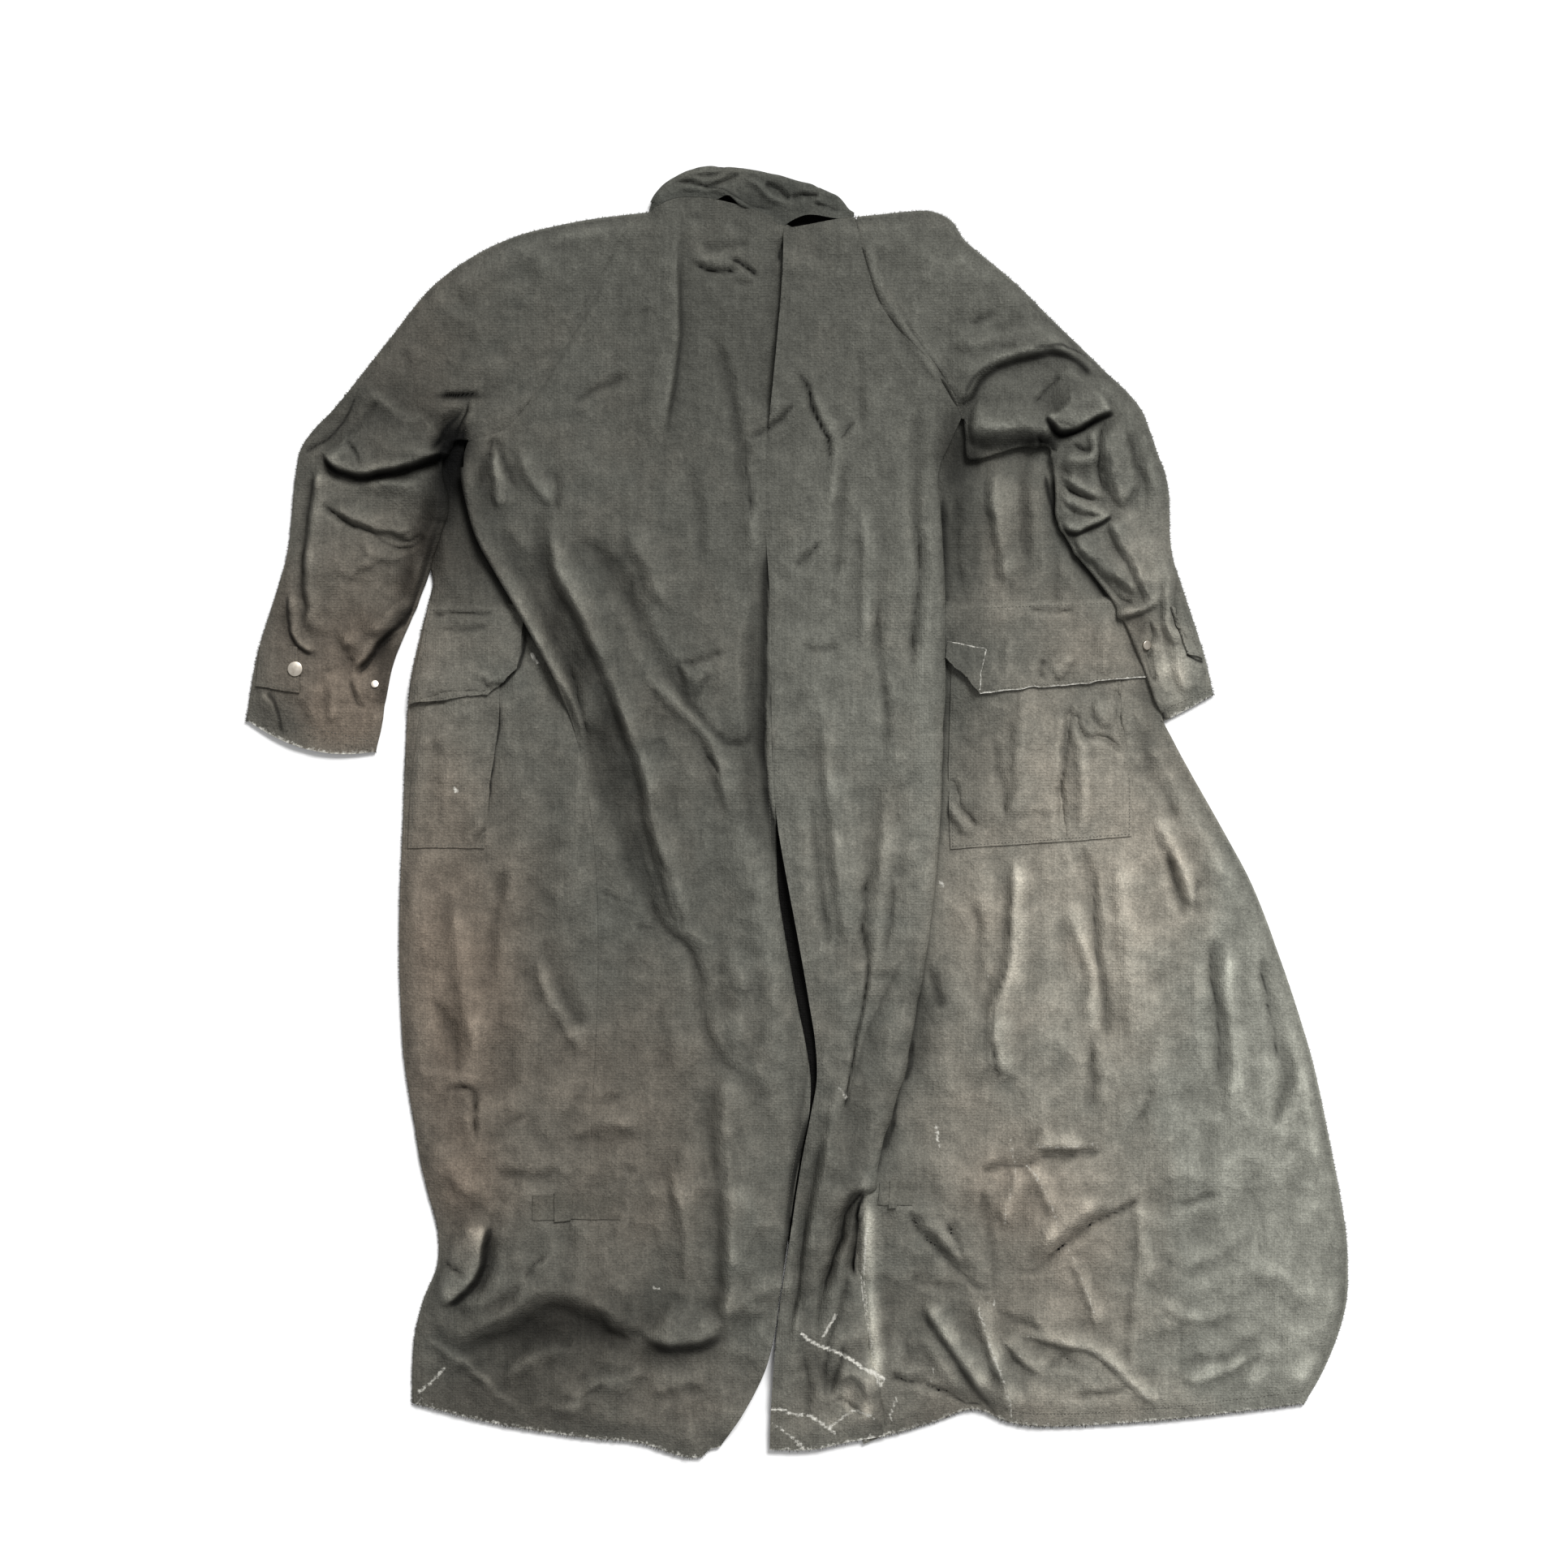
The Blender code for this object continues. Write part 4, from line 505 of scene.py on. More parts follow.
    ("SR", 10, 14, -4, 0.3, 0.2, 303, 269, 318, 245, 338, 223, 359, 211),
    ("SR", 24, 8, 5, 0.2, 0.2, 287, 289, 309, 262, 335, 245, 360, 224),
    ("SR", 10, 6, 6, 0.4, 0.15, 323, 201, 343, 206, 357, 211, 372, 219),
    ("SR", 18, 7, 5, 0.2, 0.25, 389, 264, 386, 221, 388, 187, 400, 170),
    ("SR", 6, 8, -4, 0.35, 0.25, 396, 255, 394, 221, 398, 190, 411, 177),
    ("SR", 6, 7, -4, 0.5, 0.25, 366, 204, 371, 182, 367, 160, 376, 138),
    ("SR", 6, 9, -4, 0.6, 0.2, 373, 172, 367, 158, 371, 144, 377, 133),
    ("SR", 5, 7, -2, 1, 0.15, 404, 165, 415, 161, 428, 156),
    ("SR", 20, 9, 4, 0.2, 0.2, 386, 196, 394, 170, 401, 144, 405, 117),
    ("SR", 7, 7, -6, 0.6, 0.25, 342, 187, 352, 162, 366, 131, 377, 109),
    ("SR", 6, 7, -3.5, 0.3, 0.3, 422, 165, 425, 144, 420, 126),
    # pockets, flaps and collar
    ("FL", 9, 9, -1.5, 1, 0.15, -286, 219, -284, 191, -286, 168, -294, 150, -309, 134, -323, 125),
    ("FL PL", 4, 6, -1, 0.6, 0.15, -405, 112, -382, 121, -359, 126, -321, 125),
    ("FL", 10, 6, -1, 1, 0.12, -309, 117, -312, 94, -317, 60, -323, 21, -325, -10),
    ("PL", 8, 8, -4, 0.35, 0.25, -321, -17, -332, -26, -337, -36),
    ("PL", 18, 7, 3, 0.2, 0.25, -326, -7, -342, -22, -348, -34),
    ("PL", 28, 11, 3, 0.2, 0.25, -371, 102, -366, 42, -369, -8),
    ("PL", 8, 8, -2.5, 0.2, 0.25, -400, 102, -384, 114, -359, 119),
    ("GL", 5, 6, -2.5, 0.4, 0.1, -384, 207, -359, 206, -335, 207, -314, 205),
    ("GL", 6, 6, -2, 0.2, 0.25, -376, 191, -346, 189, -316, 194),
    ("GL", 5, 5, -3, 0.3, 0.25, -328, 143, -325, 131, -320, 126),
    ("GL", 12, 5, 3, 0.2, 0.25, -333, 148, -326, 138, -314, 139, -301, 146),
    ("PR", 8, 6, -5, 0.5, 0.12, 160, 36, 165, 17, 174, 2, 189, -19),
    ("PR", 20, 8, 4, 0.2, 0.25, 156, 13, 168, -8, 182, -29),
    ("PR", 10, 9, -5, 0.4, 0.1, 286, 112, 280, 60, 275, 13, 279, -31),
    ("PR", 12, 8, 4, 0, 0.1, 295, 76, 298, 34, 298, -26),
    ("PR", 7, 7, -5, 0.4, 0.12, 291, 104, 295, 88, 303, 78, 320, 76, 342, 62),
    ("PR", 6, 7, -4, 0.35, 0.12, 333, 132, 336, 93, 345, 61, 347, 34),
    ("PR", 20, 8, 4, 0.2, 0.25, 313, 119, 318, 99, 326, 87),
    ("PR", 26, 14, 4, 0.1, 0.12, 235, 128, 235, 73, 230, -8),
    ("PR", 9, 9, -3, 0.2, 0.25, 204, 85, 212, 34, 219, -17),
    ("GR", 6, 6, -2.5, 0.35, 0.12, 240, 211, 262, 208, 292, 211),
    ("GR", 7, 7, -3, 0.25, 0.25, 257, 134, 253, 146, 260, 160),
    ("GR", 16, 6, 3, 0.2, 0.25, 270, 138, 279, 153, 287, 163),
    ("GR", 14, 6, 2.5, 0.2, 0.25, 318, 139, 323, 170, 320, 196),
    ("GR", 9, 9, -2.5, 0.15, 0.25, 216, 136, 212, 162, 218, 187),
    ("CO", 9, 3, -1, 0.6, 0.15, -112, 656, -87, 652, -65, 643, -44, 632, -20, 626),
    ("BL", 12, 5, -3, 0.8, 0.3, -3, 612, -13, 600, -18, 585, -20, 568),
    ("CO", 5, 6, -5, 0.6, 0.12, -128, 658, -112, 658, -94, 655, -74, 660, -60, 668),
    ("CO", 7, 6, 3, 0, 0.12, -124, 649, -104, 653, -83, 651, -65, 641, -46, 629),
    ("CO", 6, 6, -6, 0.7, 0.12, -35, 655, -23, 653, -14, 646, -7, 639),
    ("CO", 5, 6, -4, 0.5, 0.12, -7, 641, 7, 645, 22, 644),
    ("CO", 6, 6, 3, 0, 0.25, -57, 661, -40, 653, -27, 641, -6, 634),
    ("CO", 6, 6, -2, 0.2, 0.25, 15, 636, 32, 634, 46, 627),
    ("CO", 7, 6, 2, 0, 0.25, 3, 653, 20, 641, 41, 631),
    ("CO", 5, 5, -2, 0.3, 0.25, -112, 666, -92, 665, -70, 672),
    ("CO", 7, 6, 2, 0, 0.25, -114, 672, -94, 672, -73, 675),
)
FOLDS = [Fold(*row[:6], np.reshape(row[6:], (-1, 2))) for row in FOLD_ROWS]

# %% [markdown]
# One function gives the height of the cloth over the floor at any point of a layer: the level of the body, the
# folds, and a fine crumple made with smooth noise. It also tells how much painted shade goes into the hollows
# and beside the lips.

# %% Height of the cloth
# heights of the middle of the cloth over the floor
LEVEL = 12.0
LOWEST = 7.4
HIGHEST = 34.0
FOLD_HEIGHT = 6.4
TUCKED_HEIGHT = 2.8
LIP_HEIGHT = 5.2
SIDE_HEIGHT = 4.5
CUFF_HEIGHT = 5.2
HEM_HEIGHT = {"BL": 5.4, "FL": 5.4, "FR": 5.4, "BR": 8.0}
# how softly heights are kept between the lowest and the highest, as squares
LOW_EASE = 4.0
HIGH_EASE = 9.0
# how far from a line the cloth is still drawn to the line's height
EDGE_REACH = 20.0
TUCKED_REACH = 26.0
CUFF_REACH = 26.0
HEM_REACH = 34.0
SIDE_REACH = 40.0
ELBOW_REACH = 24.0
SEAM_REACH = 60.0
# the right back rises to a pleat at its edge, and the right front is tucked below it
PLEAT_LIFT = 12.0
PLEAT_REACH = 75.0
PLEAT_TOP = ARMPIT_Y + 12.0
PLEAT_RISE = 130.0
PLEAT_TUCK = 22.0
TUCKED_EDGE = shifted(PLEAT_EDGE, -PLEAT_TUCK)
# the sleeves' underarm edges lie over the fronts, and so higher, down to the elbows
UNDER_LIFT = 7.0
UNDER_REACH = 8.0
UNDER_DROP = 2.0
UNDER_HIGHEST = 21.0
LEFT_UNDER = LEFT_SLEEVE[:, 2:]
RIGHT_UNDER = RIGHT_SLEEVE[:, 2:]
OUTLINES = {
    "SL": (LEFT_SLEEVE[:, :2], LEFT_UNDER),
    "SR": (RIGHT_SLEEVE[:, :2], RIGHT_UNDER),
    "FL": (LEFT_FOLD,),
    "FR": (RIGHT_FOLD,),
    "BL": (LEFT_SLEEVE[:, :2],),
    "BR": (RIGHT_SLEEVE[:, :2],),
    "CO": (LEFT_SLEEVE[:, :2], RIGHT_SLEEVE[:, :2]),
}
RAGLANS = {"SL": LEFT_RAGLAN, "SR": RIGHT_RAGLAN, "BL": LEFT_RAGLAN, "BR": RIGHT_RAGLAN}
CUFFS = {"SL": LEFT_SLEEVE[-1].reshape(2, 2), "SR": RIGHT_SLEEVE[-1].reshape(2, 2)}
# ramps: the y at which each starts, and the rise over which it grows
# a sleeve comes to lie over its front, and the fronts go flat below the sleeves
OVER_FRONT = {"SL": (235.0, 55.0), "SR": (70.0, 40.0)}
FRONT_TOP = {"FL": (335.0, 30.0), "FR": (320.0, 60.0)}
# the right front sinks from the lip's height to the tucked one, and the left front sinks below the left back
LIP_END = (280.0, 40.0)
SIDE_TOP = (30.0, 90.0)
# the right back's centre edge comes down on to the left back
CENTRE_SINK = (450.0, -60.0)
# above this y the right front lies below the sleeve
ELBOW_Y = 60.0
# how far cloth is pressed down at a seam, over which width, and how far the left front sinks below its back
SEAM_DIP = 0.9
SEAM_WIDE = 6.0
SEAM_EASE = 3.0
SEAM_START = 2.5
SIDE_DIP = 2.0
# how much higher all folds are than in the table, and from which length on a fold strays less from its line
FOLD_SCALE = 1.4
LONG_FOLD = 150.0
LONG_CALM = 0.4
# steps from point to point of a fold's line, how far round it is looked for, and the share of width at its ends
FOLD_STEPS = 6
FOLD_MARGIN = 4.0
FOLD_TAPER = 0.45
# how round a ridge is, and where beside a lip its shade lies and how wide, in shares of the narrow side
RIDGE_ROUND = 0.35
LIP_SHADE = (0.8, 0.7)
# how far the folds stray, over which length, and the seed
STRAYS = ((2.8, 27.0, 31), (0.9, 9.0, 33))
# how much the folds' height varies, over which length, and the seed
UNEVEN = (0.4, 42.0, 35)
# size of the crumples, how high they are, and the seed
CRUMPLES = ((85.0, 4.2, 11), (38.0, 2.9, 14), (17.0, 1.4, 17))
# how loosely the cloth lies, and how much more so below which y and over which way down
LOOSE = 0.4
LOOSER = ((0.4, 300.0, 200.0), (0.5, -150.0, 250.0))
SLEEVE_LOOSER = 0.6
# long soft waves: how far they sway, over which length, and the seed
SWAY = (22.0, 130.0, 7)
# their width and length on the body, their height, how much higher they are below which y and over which way down
HANG = np.array([34.0, 190.0])
HANG_HIGH = (0.8, 2.6, 260.0, 320.0)
# their height and size on the sleeves
SLEEVE_WAVE = (2.2, 48.0)
# turns a square grid into one of even triangles
SKEW = 0.366


def beside(xy, line):
    """Distance of each point from a line, positive on its left, and the share of the way along it."""
    starts, steps = line[:-1], np.diff(line, axis=0)
    squares = (steps * steps).sum(-1)
    offset = xy[:, None, :] - starts
    share = np.clip((offset * steps).sum(-1) / squares, 0.0, 1.0)
    far = np.linalg.norm(offset - share[..., None] * steps, axis=-1)
    every, near = np.arange(len(xy)), far.argmin(1)
    turn = steps[near, 0] * offset[every, near, 1] - steps[near, 1] * offset[every, near, 0]
    run = np.concatenate([[0.0], np.cumsum(np.sqrt(squares))])
    along = (run[near] + share[every, near] * np.sqrt(squares[near])) / run[-1]
    return np.copysign(far[every, near], turn), along


def near_line(xy, line, reach):
    """Which points lie in the box round a line."""
    return np.all((xy > line.min(0) - reach) & (xy < line.max(0) + reach), axis=1)


def away(xy, line, reach):
    """Distance from a line, no more than the reach."""
    far = np.full(len(xy), float(reach))
    close = near_line(xy, line, reach)
    if close.any():
        far[close] = np.minimum(reach, np.abs(beside(xy[close], line)[0]))
    return far


def clear_of(xy, line, reach):
    """0 on a line, and 1 as far from it as the reach or farther."""
    return smooth(away(xy, line, reach) / reach)


def scattered(x, y, seed):
    """A number from 0 to 1 for each corner of a grid, as if at random."""
    turn = np.sin(x * 127.1 + y * 311.7 + seed * 74.7) * 43758.5453
    return turn - np.floor(turn)


def noise(xy, size, seed):
    """Smooth noise from -1 to 1, with bumps of the given size."""
    place = xy / size
    cell = np.floor(place)
    part = place - cell
    ease = part * part * part * (part * (part * 6.0 - 15.0) + 10.0)
    corners = []
    for dx in (0, 1):
        for dy in (0, 1):
            angle = 2.0 * math.pi * scattered(cell[:, 0] + dx, cell[:, 1] + dy, seed)
            corners.append(np.cos(angle) * (part[:, 0] - dx) + np.sin(angle) * (part[:, 1] - dy))
    low = corners[0] + ease[:, 1] * (corners[1] - corners[0])
    high = corners[2] + ease[:, 1] * (corners[3] - corners[2])
    return 1.4 * (low + ease[:, 0] * (high - low))


def drift(xy, size, seed):
    """Smooth noise in both directions."""
    return np.stack([noise(xy, size, seed), noise(xy, size, seed + 1)], axis=1)


def crumpled(xy, size, seed):
    """Flat facets that meet in sharp creases, from -1 to 1: random heights on a bent grid of triangles."""
    cos, sin = math.cos(1.1 * seed), math.sin(1.1 * seed)
    place = (xy + 0.5 * size * drift(xy, 1.5 * size, seed)) / size
    place = place @ np.array([[cos, -sin], [sin, cos]])
    place = place + SKEW * place.sum(axis=1, keepdims=True)
    cell = np.floor(place)
    part = place - cell
    large, small = part.max(axis=1), part.min(axis=1)

    def corner(dx, dy):
        return 2.0 * scattered(cell[:, 0] + dx, cell[:, 1] + dy, seed) - 1.0

    middle = np.where(part[:, 0] > part[:, 1], corner(1, 0), corner(0, 1))
    return corner(0, 0) * (1.0 - large) + middle * (large - small) + corner(1, 1) * small


def folded(xy, layer):
    """Height that the folds of a layer add at each point, and the shade that is painted into their hollows and beside
    their lips.
    """
    lift, grime = np.zeros(len(xy)), np.zeros(len(xy))
    wave = sum(far * drift(xy, size, seed) for far, size, seed in STRAYS)
    varied, size, seed = UNEVEN
    uneven = 1.0 + varied * noise(xy, size, seed)
    for fold in FOLDS:
        if layer not in fold.layers.split():
            continue
        line = refine(fold.line, FOLD_STEPS)
        close = near_line(xy, line, max(fold.left, fold.right) + FOLD_MARGIN)
        if not close.any():
            continue
        calm = LONG_CALM if length(line) > LONG_FOLD else 1.0
        side, along = beside(xy[close] + calm * wave[close], line)
        ends = smooth(along / fold.fade) * smooth((1.0 - along) / fold.fade)
        width = np.where(side > 0.0, fold.left, fold.right) * (FOLD_TAPER + (1.0 - FOLD_TAPER) * ends)
        share = np.clip(np.abs(side) / width, 0.0, 1.0)
        # a trough gets painted shade along its bottom, a lip gets painted shade beside its narrow side
        if fold.height < 0:
            hold = (1.0 - share) ** 3
            profile = 0.5 * (1.0 - share) + 0.5 * hold
        else:
            round_part = 0.5 * (1.0 + np.cos(math.pi * share))
            profile = RIDGE_ROUND * round_part + (1.0 - RIDGE_ROUND) * (1.0 - share)
            narrow = min(fold.left, fold.right)
            out = side if fold.left < fold.right else -side
            middle, wide = LIP_SHADE
            hold = np.exp(-(((out - middle * narrow) / (wide * narrow)) ** 2))
        lift[close] += FOLD_SCALE * fold.height * profile * ends * uneven[close]
        grime[close] = np.maximum(grime[close], fold.dark * hold * ends)
    return lift, grime


def pressed(z, xy, line, reach, target):
    """Heights drawn to a target near a line."""
    return target + (z - target) * clear_of(xy, line, reach)


def lap_dip(xy, line, side):
    """How far cloth is pressed down on one side of a seam, where its neighbour laps over it."""
    return SEAM_DIP * smooth((side * beside(xy, line)[0] + SEAM_START) / SEAM_EASE)


def sunk(xy, line):
    """How far the upper cloth is drawn down along a seam, so that it ends level with its neighbour."""
    return SEAM_DIP * (1.0 - clear_of(xy, line, SEAM_WIDE))


def height(xy, layer):
    """Height of the middle of the cloth over the floor, and its painted crease shade, at points in a list."""
    y = xy[:, 1]
    lift, grime = folded(xy, layer)
    z = LEVEL + lift
    loose = LOOSE + sum(more * ramp(y, top, -way) for more, top, way in LOOSER)
    free = clear_of(xy, RAGLANS[layer], SEAM_REACH) if layer in RAGLANS else 1.0
    if layer in CUFFS:
        loose = loose + SLEEVE_LOOSER * free
    for size, high, seed in CRUMPLES:
        z = z + loose * high * crumpled(xy, size, seed)
    far, size, seed = SWAY
    sway = xy + far * drift(xy, size, seed)
    if layer in HEM_HEIGHT:
        least, more, top, way = HANG_HIGH
        z = z + free * (least + more * ramp(y, top, -way)) * noise(sway / HANG, 1.0, seed + 2)
    elif layer in CUFFS:
        high, size = SLEEVE_WAVE
        z = z + free * high * noise(sway, size, seed + 3)
    if layer == "BR":
        rise = 1.0 - clear_of(xy, PLEAT_EDGE, PLEAT_REACH)
        z = z + PLEAT_LIFT * rise * ramp(y, PLEAT_TOP, -PLEAT_RISE)
    z = 0.5 * (z + LOWEST + np.sqrt((z - LOWEST) ** 2 + LOW_EASE))
    z = 0.5 * (z + HIGHEST - np.sqrt((z - HIGHEST) ** 2 + HIGH_EASE))
    for line in OUTLINES.get(layer, ()):
        low, reach = FOLD_HEIGHT, EDGE_REACH
        if line is RIGHT_UNDER or line is LEFT_UNDER:
            over = np.clip(z - UNDER_DROP, FOLD_HEIGHT + UNDER_LIFT, UNDER_HIGHEST)
            low, reach = FOLD_HEIGHT + (over - FOLD_HEIGHT) * ramp(y, *OVER_FRONT[layer]), UNDER_REACH
        z = pressed(z, xy, line, reach, low)
    if layer in CUFFS:
        z = pressed(z, xy, CUFFS[layer], CUFF_REACH, CUFF_HEIGHT)
    if layer in HEM_HEIGHT:
        z = pressed(z, xy, HEM_LINE, HEM_REACH, HEM_HEIGHT[layer])
    if layer == "BL":
        z = z - lap_dip(xy, CENTRE_LINE, 1)
    if layer == "BR":
        z = z - sunk(xy, CENTRE_LINE) * ramp(y, *CENTRE_SINK)
    if layer in CUFFS:
        z = z - sunk(xy, RAGLANS[layer])
    elif layer in RAGLANS:
        z = z - lap_dip(xy, RAGLANS[layer], 1 if layer == "BR" else -1)
    if layer == "FR":
        z = pressed(z, xy, TUCKED_EDGE, TUCKED_REACH, TUCKED_HEIGHT)
        below = LIP_HEIGHT + (TUCKED_HEIGHT - LIP_HEIGHT) * ramp(y, *LIP_END)
        z = np.where(y > ELBOW_Y, pressed(z, xy, RIGHT_UNDER, ELBOW_REACH, below), z)
    if layer == "FL":
        under = (1.0 - clear_of(xy, LEFT_SIDE, SIDE_REACH)) * ramp(y, *SIDE_TOP)
        z = z + under * (SIDE_HEIGHT - z)
    if layer in FRONT_TOP:
        z = z + ramp(y, *FRONT_TOP[layer]) * (TUCKED_HEIGHT - z)
    if layer == "FL":
        z = z - SIDE_DIP * smooth(beside(xy, LEFT_SIDE)[0] / SEAM_EASE)
    return z, grime


def surface(grid, layer):
    """Points of a layer on a grid, the directions its outer face looks in, and its painted crease shade."""
    flat = grid.reshape(-1, 2)
    z, grime = height(flat, layer)
    points = np.concatenate([flat, z[:, None]], axis=1).reshape(*grid.shape[:2], 3)
    return points, facing(points), grime.reshape(grid.shape[:2])


def facing(points):
    """Unit directions square to a grid of points, upwards."""
    normals = np.cross(np.gradient(points, axis=0), np.gradient(points, axis=1))
    normals = normals / np.maximum(np.linalg.norm(normals, axis=-1, keepdims=True), 1e-9)
    return normals * np.where(normals[..., 2:] < 0.0, -1.0, 1.0)


print("Folds:", len(FOLDS))

# %% [markdown]
# Pale scratches of wear are given as lines, and broad patches as ellipses that are lighter, darker or browner
# than the rest: the browner ones and some lighter ones are the cloth's own tone, the darker ones in hollows,
# under folds and beside overlaps are painted shade, and some lighter strips are painted light. Each becomes a
# number at every point of the cloth, which the material reads.

# %% Wear, tone and painted shade
Scuff = namedtuple("Scuff", "width strength line")
# width and strength, and then x and y of each point of the line
SCUFF_ROWS = (
    (4.2, 1, 5, -544, 14, -552, 26, -558, 41, -563, 56, -571, 70, -580, 83, -586, 92, -593),
    (4.2, 0.95, -27, -624, -14, -626, -2, -630, 12, -631, 24, -638, 39, -649),
    (4, 0.85, -25, -639, -12, -648, -2, -656, 8, -666),
    (4, 0.85, 32, -644, 44, -636, 54, -627, 66, -626, 80, -632),
    (4.5, 0.85, 73, -435, 70, -459, 69, -493, 73, -527, 78, -552, 83, -586, 88, -600),
    (4, 0.9, 41, -524, 36, -532, 31, -541, 27, -547),
    (5, 0.75, 44, -287, 48, -292, 51, -299),
    (4.5, 0.9, 104, -612, 99, -626, 97, -636),
    (4.5, 0.7, 144, -576, 140, -590, 136, -598),
    (4.5, 0.8, 146, -328, 147, -340, 149, -350),
    (4.5, 0.65, 224, -342, 225, -357, 228, -374, 224, -393, 219, -413, 216, -434),
    (4.2, 0.7, 240, -369, 250, -382, 260, -400, 268, -420, 274, -435),
    (5, 0.6, 190, -518, 199, -513, 204, -517, 207, -510, 211, -496),
    (4.5, 0.75, 189, -520, 196, -539, 202, -561, 212, -586, 219, -605, 224, -631),
    (5, 0.6, 284, -456, 294, -481, 303, -502, 309, -520, 313, -541),
    (4.5, 0.5, 211, -547, 228, -563, 245, -578, 260, -593),
    (5.5, 0.6, 240, -547, 270, -552, 304, -561, 333, -581, 352, -597, 369, -614, 382, -622),
    (5, 0.6, 314, -343, 315, -348, 314, -354),
    (5, 0.7, 250, -348, 270, -350, 292, -349, 313, -347),
    (5, 0.75, -396, -607, -389, -602, -379, -593, -372, -586, -368, -581),
    (4.5, 0.6, -401, -609, -393, -614, -388, -620),
    (4.5, 0.9, -277, 165, -275, 160, -272, 156),
    (4.5, 1, -357, 24, -356, 22, -355, 22),
    (4.5, 0.9, 150, -73, 151, -76, 152, -77),
    (4.5, 0.8, -150, -497, -147, -498, -145, -498),
    (4.5, 0.55, 199, -170, 204, -184, 207, -192),
    (4.5, 0.5, 182, -102, 189, -95, 196, -90),
    (4.5, 0.55, 440, -631, 442, -634, 443, -638),
    (4.5, 0.5, -155, 225, -153, 212, -151, 200),
    (4.5, 0.45, 389, 255, 388, 221, 389, 191),
    (6, 0.9, 68, -656, 75, -655, 80, -654),
    (5.5, 0.85, 87, -653, 95, -650),
)
SCUFFS = [Scuff(*row[:2], np.reshape(row[2:], (-1, 2))) for row in SCUFF_ROWS]
# patches of the cloth's own tone and browner wax, patches of painted shade in hollows, under folds and beside
# overlaps, and lighter patches that are partly the cloth's own tone and partly painted light
ToneAndShade = namedtuple("ToneAndShade", "x y wide high light brown")
